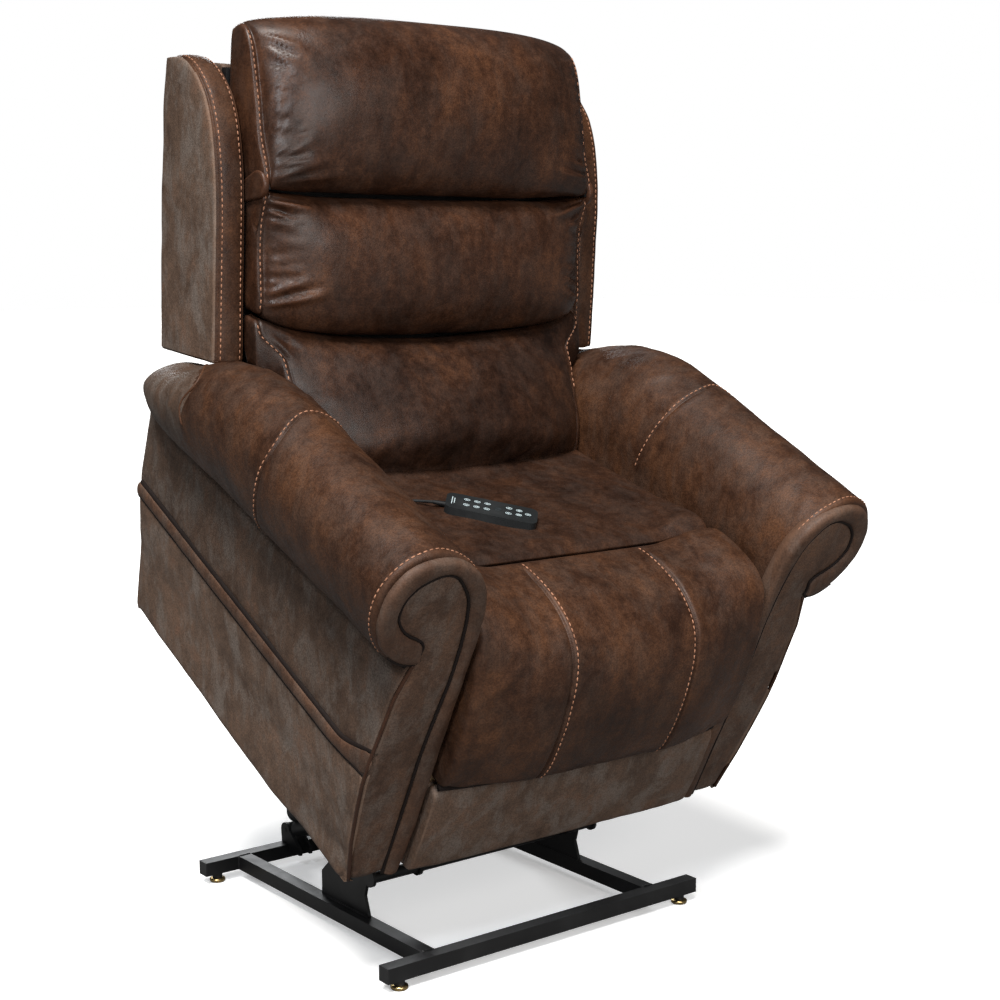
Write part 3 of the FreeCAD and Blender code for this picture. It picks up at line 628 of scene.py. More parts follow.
LEATHER = leather("leather_arm", (0.019, 0.0072, 0.0036), (0.064, 0.0265, 0.0125),
                  (0.122, 0.051, 0.0220), (0.074, 0.048, 0.035), 0.32, 0.50)
SEAT = leather("leather_seat", (0.012, 0.0047, 0.0024), (0.039, 0.0156, 0.0075),
               (0.076, 0.031, 0.0135), (0.043, 0.027, 0.020), 0.32, 0.52)
GLOSSY = leather("leather_cushion", (0.015, 0.0057, 0.0028), (0.057, 0.0225, 0.0110),
                 (0.128, 0.052, 0.0230), (0.062, 0.040, 0.030), 0.30, 0.42, 0.20)
# A darker copy of the cushion leather, for the lumbar cushion, the seat apron and the strips beside
# the arm posts: painted shade.
SHADED = leather("leather_shaded", (0.009, 0.0035, 0.0018), (0.035, 0.0138, 0.0068),
                 (0.084, 0.034, 0.0150), (0.038, 0.024, 0.018), 0.30, 0.46, 0.08)
PANEL = leather("leather_panel", (0.046, 0.0260, 0.0170), (0.092, 0.057, 0.0390),
                (0.134, 0.067, 0.0400), (0.134, 0.111, 0.095), 0.70, 0.60, 0.0, (24, 24, 14))
# A brighter copy of the panel leather, for the lower side panels, the lower pad and the wings:
# painted light.
LIT_PANEL = leather("leather_panel_lit_copy", (0.068, 0.0400, 0.0265), (0.138, 0.087, 0.0600),
                (0.186, 0.098, 0.0610), (0.190, 0.158, 0.136), 0.70, 0.60, 0.0, (24, 24, 14))
POST = leather("leather_post", (0.040, 0.0200, 0.0120), (0.090, 0.047, 0.0290),
               (0.135, 0.066, 0.0360), (0.110, 0.084, 0.068), 0.50, 0.56)
FACE = leather("leather_face", (0.050, 0.0270, 0.0170), (0.112, 0.062, 0.0400),
               (0.160, 0.082, 0.0470), (0.150, 0.118, 0.098), 0.60, 0.58)
# Near-black leather for the shade tubes: painted shade in grooves and under overhangs.
PAINTED_SHADE = leather("leather_painted_shade", (0.004, 0.002, 0.0013), (0.007, 0.0035, 0.0025),
                 (0.010, 0.005, 0.003), (0.007, 0.005, 0.004), 0.3, 0.8)
THREAD = thread()
BLACK_STEEL = painted("black_powder_coat", (0.006, 0.006, 0.0065), 0.40, 900.0, 0.006)
BLACK_PLASTIC = painted("black_plastic", (0.009, 0.009, 0.0095), 0.45, 500.0, 0.008)
HANDSET_PLASTIC = painted("handset_plastic", (0.011, 0.013, 0.014), 0.45, 1400.0, 0.006)
MARKS = painted("handset_marks", (0.50, 0.60, 0.62), 0.55, 1400.0)
KEYS = rubber("key_rubber", (0.016, 0.020, 0.022), 0.55)
CORD = rubber("cord_rubber", (0.003, 0.003, 0.0033), 0.6)
BRASS = metal("brass_glide", (0.62, 0.45, 0.20), 0.28)
STEEL = metal("ground_steel", (0.55, 0.55, 0.56), 0.26)
SPRING = metal("spring_wire", (0.22, 0.21, 0.20), 0.4)
WOOD = wood()

NODE_LOOKS = {
    "base_steel": BLACK_STEEL, "linkage_steel": BLACK_STEEL, "black_plastic": BLACK_PLASTIC,
    "collar_black": BLACK_PLASTIC, "glide_brass": BRASS, "rod_steel": STEEL,
    "spring_steel": SPRING, "frame_wood": WOOD, "back_steel": BLACK_STEEL, "leather": LEATHER,
    "leather_panel": PANEL, "handset_black": HANDSET_PLASTIC, "key_rubber": KEYS,
    "cord_black": CORD,
}


def dress_nodes():
    """Give every carried-over part its finish and slightly eased edges."""
    slots = {part["node"]: part["material_slot"] for part in frame["record"]["subparts"]}
    for name, node in frame["nodes"].items():
        node.data.materials.clear()
        node.data.materials.append(NODE_LOOKS[slots[name]])
        eased = node.modifiers.new("Eased", "BEVEL")
        eased.width = 0.0007 if "handset" in name else 0.0012
        eased.segments = 2
        eased.limit_method = "ANGLE"
        eased.angle_limit = math.radians(40)
    frame["nodes"]["arm_cores"].data.materials[0] = POST


# ---------------------------------------------------------------- arms

ROLL_TOP = [(-20, 622), (300, 622), (440, 621), (486, 617), (530, 606), (573, 590), (602, 576),
            (644, 552), (686, 521), (711, 508), (778, 476), (817, 445), (842, 412), (855, 391),
            (862, 378), (866, 368)]
ROLL_LOW = [(-20, 431), (0, 430), (400, 399), (820, 367), (850, 357), (866, 357)]
ROLL_OUT = [(-20, 502), (560, 502), (640, 499), (700, 490), (740, 480), (800, 455), (840, 430),
            (873, 400)]
ROLL_SHAPE = [(306, 402), (306, 430), (306.5, 470), (307, 505), (315, 538), (328, 565),
              (348, 590), (378, 610), (415, 622), (448, 617), (474, 603), (492, 580), (501, 552),
              (499, 518), (488, 486), (467, 457), (440, 437), (420, 429), (410, 420), (350, 404)]
SEAM_Y = 371.0
POST_SEAM = [(0, 392), (4, 393), (85, 411), (157, 421), (207, 426), (256, 426), (312, 422),
             (366, 419), (402, 412), (432, 405)]
REAR_SEAM = [(335, 772), (370, 750), (400, 711), (430, 664), (465, 622), (485, 598), (500, 585)]
REAR_EDGE = [(0, 723), (161, 769), (215, 786), (367, 822), (400, 828)]


def roll_section(y, side, grow=0.0):
    """The arm roll's outline at one distance back, and each point's backward slant."""
    shape = catmull(ROLL_SHAPE, 6, closed=True)
    low, top, out = (curve_table(t, y) for t in (ROLL_LOW, ROLL_TOP, ROLL_OUT))
    x, z = shape[:, 0], shape[:, 1]
    rise = np.where(z > 430, (z - 430) * (top - low) / 192.0, z - 430)
    x = 306 + (x - 306) * (out - 306) / 196.0
    middle = np.array([404.0, 520.0])
    slant = -30 * smoothstep(425, 500, shape[:, 0]) * math.exp(-((y - SEAM_Y) / 90) ** 2)
    points = np.stack([x, y + slant, low + rise], axis=1)
    points[:, 0] += (points[:, 0] - middle[0]) * grow
    points[:, 2] += (points[:, 2] - middle[1]) * grow
    points[:, 0] *= side
    return points


# Folds in the roll's leather, as (start, end, width, height): on top by (y, |x|), and outside
# by (y, z).
ROLL_TOP_FOLDS = [((600, 330), (520, 420), 7, 2.6), ((585, 350), (505, 450), 6, -2.2),
                  ((640, 340), (560, 470), 9, 2.2), ((470, 340), (430, 400), 7, 1.8),
                  ((28, 330), (70, 400), 8, 1.6), ((30, 420), (80, 440), 8, 1.4)]
ROLL_SIDE_FOLDS = [((20, 470), (120, 500), 8, 1.8), ((300, 430), (220, 520), 9, 1.6),
                   ((560, 420), (600, 520), 9, 2.0), ((640, 410), (650, 500), 8, -1.8)]


def arm_roll(name, side):
    """A rolled arm pad, grooved at its middle seam."""
    ys = np.concatenate([[4, 5.5, 8, 12], np.arange(18, 350, 6.5), SEAM_Y + np.array(
        [-14, -9, -6, -4, -2.6, -1.3, 0, 1.3, 2.6, 4, 6, 9, 14]), np.arange(392, 858, 6.5),
        [861, 864, 866]])
    rounding = np.interp(ys, [4, 5.5, 8, 12], [-0.075, -0.04, -0.012, 0.0])
    rings = np.array([roll_section(y, side, grow) for y, grow in zip(ys, rounding)])
    off = np.abs(ys - SEAM_Y)
    groove = -2.6 * np.exp(-(off / 1.9) ** 2) + 1.0 * np.exp(-((off - 9) / 6) ** 2)
    piece = loft(name + "_cover", rings, LEATHER, body="chair_body", slot="leather",
                 replaces=[name])
    where = unchair(read(piece))
    amount = np.repeat(groove, rings.shape[1])
    y, out, z = where[:, 1], np.abs(where[:, 0]), where[:, 2]
    amount += lumps(where, (2.2, 95, 3 + side), (0.8, 32, 7 + side))
    amount += (z > 500) * folds(np.stack([y, out], axis=1), ROLL_TOP_FOLDS)
    amount += (out > 440) * folds(np.stack([y, z], axis=1), ROLL_SIDE_FOLDS)
    push(piece, amount * (0.3 + 0.7 * smoothstep(330, 345, out)))
    second_finish(piece, PANEL, lambda spot: spot[1] > table(REAR_SEAM, abs(spot[0])))
    return piece


STRIP_OUT = [(399, 436), (407, 431), (424, 432), (441, 439), (457, 450), (472, 466), (483, 484),
             (491, 505), (494, 529), (490, 560), (475, 588), (450, 606), (415, 613), (377, 605),
             (346, 586), (325, 562), (311, 532), (305, 500), (303, 455), (303, 405), (303, 345),
             (303, 290), (302, 240), (301, 188), (300, 127), (300, 78), (303, 30), (306, 6)]
STRIP_IN = [(401, 440), (401, 449), (400, 460), (406, 469), (418, 477), (431, 484), (444, 494),
            (455, 508), (461, 523), (459, 546), (448, 563), (432, 575), (404, 584), (380, 579),
            (361, 560), (345, 535), (337, 505), (333, 478), (330, 442), (329, 391), (332, 336),
            (336, 275), (337, 225), (336, 180), (335, 125), (335, 78), (335, 30), (334, 5)]
STRIP_PROFILE = [(0, 22), (0, 8), (0.0, 2), (0.04, -2), (0.12, -5), (0.28, -7), (0.5, -8),
                 (0.72, -7), (0.86, -4.5), (0.95, -1), (1.0, 3), (1.0, 9), (1.0, 22)]


def arm_scroll(name, side):
    """The padded band that runs up the arm's front and curls into the roll."""
    outer, inner = catmull(STRIP_OUT, 7), catmull(STRIP_IN, 7)
    rings = []
    for number, (a, b) in enumerate(zip(outer, inner)):
        shrink = 1 if number > 8 else math.sin(math.pi / 2 * (number + 1) / 9.5)
        ring = []
        for t, y in STRIP_PROFILE:
            t = 0.5 + (t - 0.5) * (0.6 + 0.4 * shrink)
            x, z = a + (b - a) * t
            ring.append((x * side, 22 + (y - 22) * (0.75 + 0.25 * shrink), z))
        rings.append(ring)
    piece = loft(name, rings, POST, body="chair_body", slot="leather_panel")
    where = unchair(read(piece))
    push(piece, lumps(where, (0.8, 45, 11 + side), (0.35, 16, 5 + side)))


FACE_IN = [(4, 334), (78, 335), (225, 337), (275, 336), (336, 332), (391, 329), (442, 330),
           (478, 333), (505, 337), (535, 345), (560, 361), (579, 380), (586, 400)]
FACE_OUT = [(4, 393), (85, 411), (157, 421), (207, 426), (256, 426), (312, 422), (366, 419),
            (402, 410), (430, 403), (441, 401), (450, 400), (461, 400), (468, 404), (477, 418),
            (484, 431), (494, 444), (508, 455), (523, 461), (546, 459), (563, 448), (575, 432),
            (586, 404)]


def arm_face(name, side):
    """The smooth panel inside the scroll band, down the post to the floor edge."""
    rings = []
    for z in np.concatenate([[4, 6, 10], np.arange(16, 586, 6), [586]]):
        low = table(FACE_IN, z) - 5
        high = table(FACE_OUT, z) + 5 * smoothstep(425, 445, z)
        open_side = 1 - smoothstep(405, 440, z)
        ring = []
        for t in np.linspace(0, 1, 25):
            x = low + (high - low) * t
            past = max(0.0, 12 - (high - x)) / 12
            y = 1.5 - 3.0 * (1 - (2 * t - 1) ** 2) + open_side * 14 * (1 - math.sqrt(
                max(0.0, 1 - past ** 2)))
            ring.append((x * side, y + 6 * (1 - smoothstep(4, 14, z)), z))
        ring += [(high * side, 24, z), (low * side, 24, z)]
        rings.append(ring)
    piece = loft(name, rings, FACE, body="chair_body", slot="leather_panel",
                 replaces=[name.replace("arm_face", "arm_front")])
    where = unchair(read(piece))
    push(piece, (where[:, 1] < 8) * lumps(where, (1.2, 60, 21 + side), (0.4, 22, 2 + side)))


def side_x(y, z):
    """How far out the arm's outer side stands."""
    front = table(POST_SEAM, z) + 2
    over_core = front + max(0, 407.5 - front) * smoothstep(0, 22, y)
    return np.maximum(front + (417 - front) * smoothstep(0, 240, y), over_core)


def side_panel(name, side, low, high, seed, material):
    """An outer side panel between two edges, given as heights along the arm."""
    rings = []
    for v in np.concatenate([[0, 0.012, 0.03, 0.055], np.linspace(0.09, 0.91, 26),
                             [0.945, 0.97, 0.988, 1]]):
        ring = []
        for u in np.linspace(0, 1, 96):
            ease = u - 0.035 * math.sin(math.tau * u)
            middle = low(ease * 800) + (high(ease * 800) - low(ease * 800)) * v
            rear = table(REAR_EDGE, middle)
            y = 1 + (rear - 1) * ease
            z0, z1 = low(y), high(y)
            z = z0 + (z1 - z0) * v
            edge = min(z - z0, z1 - z, y + 1, rear - y + 2)
            tuck = 9 * (1 - math.sqrt(max(0.0, 1 - (1 - min(edge, 10) / 10) ** 2)))
            crown = 3.0 * math.sin(math.pi * v) * max(0.0, math.sin(math.pi * u)) ** 0.5
            ring.append(((side_x(y, z) + crown - tuck) * side, y, z))
        ring += [(401 * side, ring[-1][1], ring[-1][2]), (401 * side, ring[0][1] + 3, ring[0][2])]
        rings.append(ring)
    piece = loft(name + "_cover", rings, material, body="chair_body", slot="leather_panel",
                 replaces=[name])
    where = unchair(read(piece))
    outside = smoothstep(404, 410, np.abs(where[:, 0]))
    push(piece, outside * (1.9 * bumps(where * (1, 1, 0.45), 85, seed)
                           + 0.7 * bumps(where, 30, seed + 4)))


def welt_low(y):
    """Height of the side welt's lower edge."""
    return 214.0 + 8 * (1 - smoothstep(0, 120, y))


def welt_high(y):
    """Height of the side welt's upper edge."""
    return 236.0 + 34 * (1 - smoothstep(-20, 90, y))


def side_welt(name, side):
    """The thick folded band between the upper and lower side panels."""
    rings = []
    for y in np.concatenate([[-1, 1, 4, 8], np.arange(14, 776, 7), [779, 784, 788, 790]]):
        z0, z1 = welt_low(y) - 2, welt_high(y) + 2
        full = min(1.0, math.sqrt(max(0.02, (y + 2) / 14)), math.sqrt(max(0.03, (791 - y) / 12)))
        middle, half = (z0 + z1) / 2, (z1 - z0) / 2
        proud = 3.0 + 5.5 * smoothstep(0, 60, y)
        ring = []
        for a in range(20):
            turn = math.tau * a / 20
            c, s = math.cos(turn), math.sin(turn)
            bend = 1.0 if c > 0 else 0.6
            x = side_x(y, middle) - 2 + proud * full * bend * abs(c) ** 0.8 * (1 if c > 0 else -1)
            ring.append((x * side, y, middle + half * full * abs(s) ** 0.75 * (1 if s > 0 else -1)))
        rings.append(ring)
    piece = loft(name, rings, POST, body="chair_body", slot="leather_panel")
    push(piece, 0.6 * bumps(unchair(read(piece)), 30, 31 + side))


def arm_rear(name, side):
    """The cover over the arm's rear end."""
    rings = []
    for z in np.concatenate([[6, 8, 12], np.arange(20, 366, 9), [368, 371]]):
        y = table(REAR_EDGE, z)
        tuck = 5 * (1 - smoothstep(6, 14, z)) + 5 * smoothstep(360, 371, z)
        ring = [((304 + 112 * t) * side, y + 5 * math.sin(math.pi * t) ** 0.4 - tuck + 2, z)
                for t in np.linspace(0, 1, 16)]
        ring += [(416 * side, y - 6, z), (304 * side, y - 6, z)]
        rings.append(ring)
    piece = loft(name, rings, PANEL, body="chair_body", slot="leather_panel")
    push(piece, 0.8 * bumps(unchair(read(piece)), 60, 41 + side))


# The crooked seam in front of the roll's rear end.
REAR_WELT = [(500, 578, 479), (500, 588, 492), (499, 596, 512), (497, 592, 545), (485, 598, 560),
             (465, 622, 565), (430, 664, 545), (400, 711, 514), (370, 750, 492), (335, 772, 480)]


def arms():
    """Both arms: roll, scroll band, front face, side panels, welts, painted-shade tubes and
    stitches.
    """
    for word, side in SIDES.items():
        roll = arm_roll(f"arm_roll_{word}", side)
        arm_scroll(f"arm_scroll_{word}", side)
        arm_face(f"arm_face_{word}", side)
        side_panel(f"side_panel_upper_{word}", side, lambda y: welt_high(y) - 3,
                   lambda y: table(ROLL_LOW, y) + 12, 51 + side, PANEL)
        side_panel(f"side_panel_lower_{word}", side, lambda y: 3.0,
                   lambda y: welt_low(y) + 3, 61 + side, LIT_PANEL)
        side_welt(f"side_welt_{word}", side)
        arm_rear(f"arm_rear_{word}", side)
        # Near-black tubes in the scroll's groove, beside the post, along the welts and under the
        # roll: painted shade.
        curl = [(x * side, -0.6, z) for x, z in STRIP_OUT[4::-1] + STRIP_IN]
        shade_tube(f"shade_tube_scroll_{word}", catmull(curl, 5), 2.5, (0, 1, 0), PAINTED_SHADE)
        post = [((table(FACE_OUT, z) + 0.8) * side, 3.0, z) for z in np.arange(5, 437, 8)]
        shade_tube(f"shade_tube_post_{word}", post, 3.2, (0, 1, 0), SHADED)
        ys = np.concatenate([[2, 6], np.arange(12, 776, 10), [779]])
        for edge, line, radius in (("high", lambda y: welt_high(y) + 2.2, 5.2),
                                   ("low", lambda y: welt_low(y) - 1.4, 4.2)):
            shade_tube(f"shade_tube_welt_{edge}_{word}",
                   [((side_x(y, line(y)) - 3.4 + 2.5 * smoothstep(0, 60, y)) * side, y,
                     line(y)) for y in ys], radius,
                   (1, 0, 0), PAINTED_SHADE)
        # Painted shade along the foot of the roll's overhang.
        under = [((side_x(y, 400) + 2.0) * side, y, table(ROLL_LOW, y) - 4.5)
                 for y in np.arange(6, 812, 10)]
        shade_tube(f"shade_tube_roll_{word}", under, 5.2, (1, 0, 0), PAINTED_SHADE)
        ring = roll_section(13.0, side)[8:92]
        stitches(f"stitch_arm_front_{word}", ring, roll, "chair_body")
        mid = roll_section(SEAM_Y + 5, side)[14:92]
        stitches(f"stitch_arm_middle_{word}", mid, roll, "chair_body")
        worn = np.array(REAR_WELT) * (side, 1, 1)
        piping(f"seam_arm_rear_{word}", spline(worn, 60), roll, "chair_body", 4.2, 2.0, LEATHER)


# ---------------------------------------------------------------- cushions

def ends(rings, steps):
    """Close the first and last ring with a rounded end; steps are (further out, scale)."""
    first, last = rings[0], rings[-1]

    def closing(ring, sign):
        middle = ring.mean(axis=0)
        made = []
        for out, scale in steps:
            moved = middle + (ring - middle) * scale
            moved[:, 0] = ring[:, 0] + sign * out
            made.append(moved)
        return made

    return np.array(closing(first, -1)[::-1] + list(rings) + closing(last, 1))


# How a closed end goes on from its last ring, as (further out, scale).
ROUND_END = ((2.5, 0.985), (5.5, 0.955), (7.6, 0.91), (8.6, 0.85), (9.0, 0.70), (9.0, 0.4))
GUSSET_END = [(out, 1 - inward / 80) for out, inward in (
    (1.2, 3.2), (2.6, 3.4), (4.2, 1.2), (7.5, 1.4), (10.8, 3.5), (12.6, 8), (13.6, 18),
    (14.0, 40))]


# Cushions have their rings closer together towards the ends, spread like the sine of this angle.
END_PACK = math.pi / 2 * 0.92


def cushion(name, middle, end, half, fullness, material, **rest):
    """A back cushion lofted across x between its middle and end outlines (up, behind)."""
    centre, side = catmull(middle, 7, closed=True), catmull(end, 7, closed=True)
    rings = []
    for t in np.sin(np.linspace(-1, 1, 75) * END_PACK) / math.sin(END_PACK):
        full = (1 - abs(t) ** fullness[0]) ** fullness[1]
        flat = side + (centre - side) * full
        reach = half(flat[:, 0]) if callable(half) else np.full(len(flat), half)
        rings.append(back(np.column_stack([t * reach, flat])))
    return loft(name, ends(rings, GUSSET_END), material, slot="leather", **rest)


PILLOW_MIDDLE = [(462, -108), (466, -134), (492, -156), (540, -166), (600, -170), (660, -162),
                 (706, -142), (738, -110), (750, -72), (746, -36), (728, -10), (650, -6),
                 (560, -8), (490, -14), (470, -50)]
PILLOW_END = [(469, -104), (467, -120), (475, -130), (498, -127), (545, -108), (600, -96),
              (650, -84), (692, -71), (716, -56), (727, -38), (724, -20), (712, -8), (650, -6),
              (560, -8), (482, -40)]
CENTRE_MIDDLE = [(224, -112), (229, -138), (252, -157), (300, -168), (355, -170), (405, -162),
                 (438, -144), (453, -118), (450, -88), (440, -62), (340, -60), (262, -62),
                 (232, -84)]
CENTRE_END = [(263, -105), (268, -113), (290, -116), (325, -113), (365, -110), (410, -111),
              (436, -118), (456, -123), (465, -112), (462, -62), (340, -60), (275, -62),
              (265, -84)]
LUMBAR_MIDDLE = [(-12, -236), (0, -250), (40, -252), (95, -234), (145, -208), (182, -180),
                 (206, -150), (217, -118), (212, -90), (200, -62), (120, -60), (45, -62),
                 (2, -150)]
LUMBAR_END = [(-2, -182), (12, -190), (50, -190), (100, -178), (150, -158), (190, -138),
              (225, -120), (250, -108), (256, -92), (248, -62), (120, -60), (45, -62),
              (8, -130)]


def lumbar_half(up):
    """The lumbar cushion's half width, wider towards its top."""
    return 296 + 37 * smoothstep(188, 238, up)


def sewn_back(points):
    """Cloth weights: a back cushion is held at its rear, its seams and its two ends."""
    local = unback(points)
    rear = smoothstep(-88, -70, local[:, 2])
    ends = smoothstep(312, 330, np.abs(local[:, 0]))
    return np.maximum(rear, ends)


def pleats(piece, lines):
    """Gathers and pulls on a back cushion's front, as (start, end, width, height) in x, up."""
    local = unback(unchair(read(piece)))
    push(piece, folds(local[:, :2], lines, 1.8) * (1 - smoothstep(-98, -68, local[:, 2])))


GATHERS = 10


def gathers(half, low, high, seed):
    """Short gathers fanning in from both ends of a cushion."""
    random = np.random.default_rng(seed)
    lines = []
    for side in (-1, 1):
        for number in range(GATHERS):
            t = (number + 0.5 + random.uniform(-0.3, 0.3)) / GATHERS
            up = low + (high - low) * t
            reach = random.uniform(32, 70) * (0.75 + 0.7 * abs(2 * t - 1))
            lean = (0.5 - t) * -42 + random.uniform(-9, 9)
            strength = random.uniform(3.0, 5.2) * (0.55 + 0.9 * abs(2 * t - 1))
            lines.append(((side * (half - 2), up), (side * (half - reach), up - lean),
                          random.uniform(3.6, 5.6), strength))
            lines.append(((side * (half - 2), up + 7), (side * (half - reach * 0.8), up + 7 - lean),
                          random.uniform(2.4, 3.8), -strength))
    return lines


def gusset_line(end, half, low, high, rear=-76):
    """Where the stitches run on a cushion's side gusset, just outside its seam."""
    outline = catmull(end, 7, closed=True)
    shown = outline[(outline[:, 0] > low) & (outline[:, 0] < high) & (outline[:, 1] < rear)]
    shown = shown[np.argsort(shown[:, 0])]
    x = half(shown[:, 0]) if callable(half) else np.full(len(shown), half)
    return np.stack([x + 7.5, shown[:, 0], shown[:, 1]], axis=1)


PILLOW_PULLS = [((-330, 484), (-240, 516), 7, 4.5), ((-328, 480), (-205, 494), 6, 3.2),
                ((-330, 478), (-250, 505), 4, -3.0), ((330, 484), (250, 510), 7, 3.2),
                ((-329, 712), (-262, 676), 7, 4.0), ((-329, 700), (-280, 650), 6, 3.4),
                ((-329, 706), (-272, 664), 4, -3.2), ((328, 708), (270, 680), 6, 2.4)]
CENTRE_PULLS = [((-328, 455), (-262, 428), 7, 4.0), ((-328, 447), (-275, 408), 5, -2.8),
                ((-328, 285), (-255, 300), 6, 2.6), ((-328, 300), (-265, 322), 6, 2.2),
                ((328, 452), (265, 432), 7, 3.0), ((328, 280), (262, 300), 6, 2.4)]
LUMBAR_PULLS = [((-326, 246), (-262, 214), 7, 4.2), ((-326, 240), (-285, 190), 6, 3.0),
                ((-326, 236), (-270, 205), 4, -2.6), ((326, 244), (262, 216), 7, 3.0),
                ((-292, 150), (-230, 130), 10, 2.6), ((-200, 40), (-60, 22), 12, 2.2),
                ((290, 150), (230, 128), 9, 2.4), ((180, 35), (60, 20), 12, 2.0)]


def back_cushions():
    """Head pillow, middle and lumbar cushion: inflated cloth with gathers and stitched ends."""
    pillow = cushion("head_pillow_cover", PILLOW_MIDDLE, PILLOW_END, 333, (3.6, 0.62), GLOSSY,
                     body="pillow", replaces=["head_pillow"])
    middle = cushion("middle_cushion_cover", CENTRE_MIDDLE, CENTRE_END, 331, (3.6, 0.62), GLOSSY,
                     body="backrest", replaces=["middle_cushion"])
    lumbar = cushion("lumbar_cushion_cover", LUMBAR_MIDDLE, LUMBAR_END, lumbar_half, (2.4, 0.85),
                     SHADED, body="backrest", replaces=["lumbar_cushion"])
    for piece, fill in ((pillow, 0.8), (middle, 0.8), (lumbar, 0.75)):
        swell(piece, sewn_back, 4.0, 22)
        local = unback(unchair(read(piece)))
        push(piece, (1 - smoothstep(-95, -70, local[:, 2]))
             * lumps(local, (2.4, 110, 5 + fill * 10), (0.9, 34, 9)))
    pleats(pillow, gathers(333, 490, 716, 4) + PILLOW_PULLS)
    pleats(middle, gathers(331, 272, 458, 8) + CENTRE_PULLS)
    pleats(lumbar, LUMBAR_PULLS)
    for piece, body, line in (
            (pillow, "pillow", gusset_line(PILLOW_END, 333, 480, 718, -50)),
            (middle, "backrest", gusset_line(CENTRE_END, 331, 270, 460)),
            (lumbar, "backrest", gusset_line(LUMBAR_END, lumbar_half, 120, 250))):
        for word, side in SIDES.items():
            stitches(f"stitch_{piece.name}_{word}", back(line * (side, 1, 1)), piece, body)


def hinge_covers():
    """Small leather covers over the pillow's brackets, beside the cushions."""
    outline = catmull([(444, -66), (448, -98), (453, -120), (463, -131), (478, -133), (492, -124),
                       (495, -106), (486, -84), (472, -62)], 5, closed=True)
    middle = outline.mean(axis=0)
    for word, side in SIDES.items():
        rings = [back(np.column_stack([np.full(len(outline), x * side),
                                       middle + (outline - middle) * grow]))
                 for x, grow in ((338.4, 0.97), (339.4, 1.0), (347.2, 1.0), (348.8, 0.94),
                                 (349.4, 0.8))]
        loft(f"hinge_cover_{word}", rings, GLOSSY, body="backrest", slot="leather")


# ---------------------------------------------------------------- seat, front roll, footrest pad

def around(centre, reach, degrees):
    """A point at so many degrees around a centre (y, z)."""
    turn = math.radians(degrees)
    return (centre[0] + reach * math.cos(turn), centre[1] + reach * math.sin(turn))


SEAT_OUTLINE = [around(FOOT, 151.4, a) for a in (-4, 8, 20, 32, 41)] + [
    (163, 463), (178, 467), (210, 466), (270, 458), (350, 444), (430, 428), (520, 410),
    (575, 399), (588, 392), (588, 360), (580, 347), (480, 346), (340, 346), (215, 345)]
ROLL_OUTLINE = [around(FOOT, 150.2, a) for a in (14, 22, 30, 38)] + [
    (151, 462), (137, 468.5), (112, 471), (80, 471), (46, 467), (14, 456), (-18, 436), (-40, 408),
    (-53, 372), (-60, 330), (-63, 285), (-62, 240), (-56, 208), (-42, 190), (-15, 186),
    (4, 190), (10, 205), (10, 280), (10, 370), (18, 391), (60, 393), (130, 393), (180, 392)]


SEAT_HALF = 290


def seat_rings(outline, shape, fine=()):
    """Sections across x of a seat piece; shape moves a section's points at each x, and there
    are more of them close to the seams at the fine places."""
    xs = list(np.linspace(-SEAT_HALF, SEAT_HALF, 97))
    for x in fine:
        xs += [x + off for off in (-7, -4.5, -2.8, -1.4, 0, 1.4, 2.8, 4.5, 7)]
    outline = catmull(outline, 6, closed=True)
    rings = []
    for x in sorted(xs):
        moved = shape(x, outline.copy())
        rings.append(np.column_stack([np.full(len(moved), x), moved]))
    return rings


def seat_shape(x, section):
    """The seat dips in the middle and rises in shoulders beside the arms."""
    t = abs(x) / 300
    top = smoothstep(385, 440, section[:, 1])
    front = 1 - smoothstep(170, 330, section[:, 0])
    section[:, 1] += top * (-5 * (1 - t**2) * smoothstep(170, 260, section[:, 0])
                            * (1 - smoothstep(480, 560, section[:, 0])))
    section[:, 1] += top * front * 14 * smoothstep(0.62, 0.9, t)
    return section


def roll_shape(x, section):
    """The front roll is lowest in the middle, with high shoulders and set-back ends."""
    t = abs(x) / 300
    top = smoothstep(385, 450, section[:, 1])
    ahead = 1 - smoothstep(-60, 40, section[:, 0])
    section[:, 1] += top * 20 * smoothstep(0.55, 0.9, t)
    section[:, 0] += ahead * 24 * smoothstep(0.5, 1.0, t)
    low = 1 - smoothstep(186, 240, section[:, 1])
    section[:, 1] -= low * 5 * (1 - t**2)
    return section


SEAT_FOLDS = [((-286, 190), (-215, 205), 9, 3.5), ((-284, 205), (-230, 240), 7, -2.5),
              ((284, 200), (205, 178), 10, 4.0), ((286, 225), (225, 215), 8, -3.0),
              ((150, 186), (230, 200), 6, -2.2), ((-60, 182), (60, 180), 7, 1.6),
              ((-20, 200), (40, 260), 12, -1.6), ((-280, 300), (-220, 330), 12, 1.8),
              ((275, 300), (215, 330), 12, 1.8)]


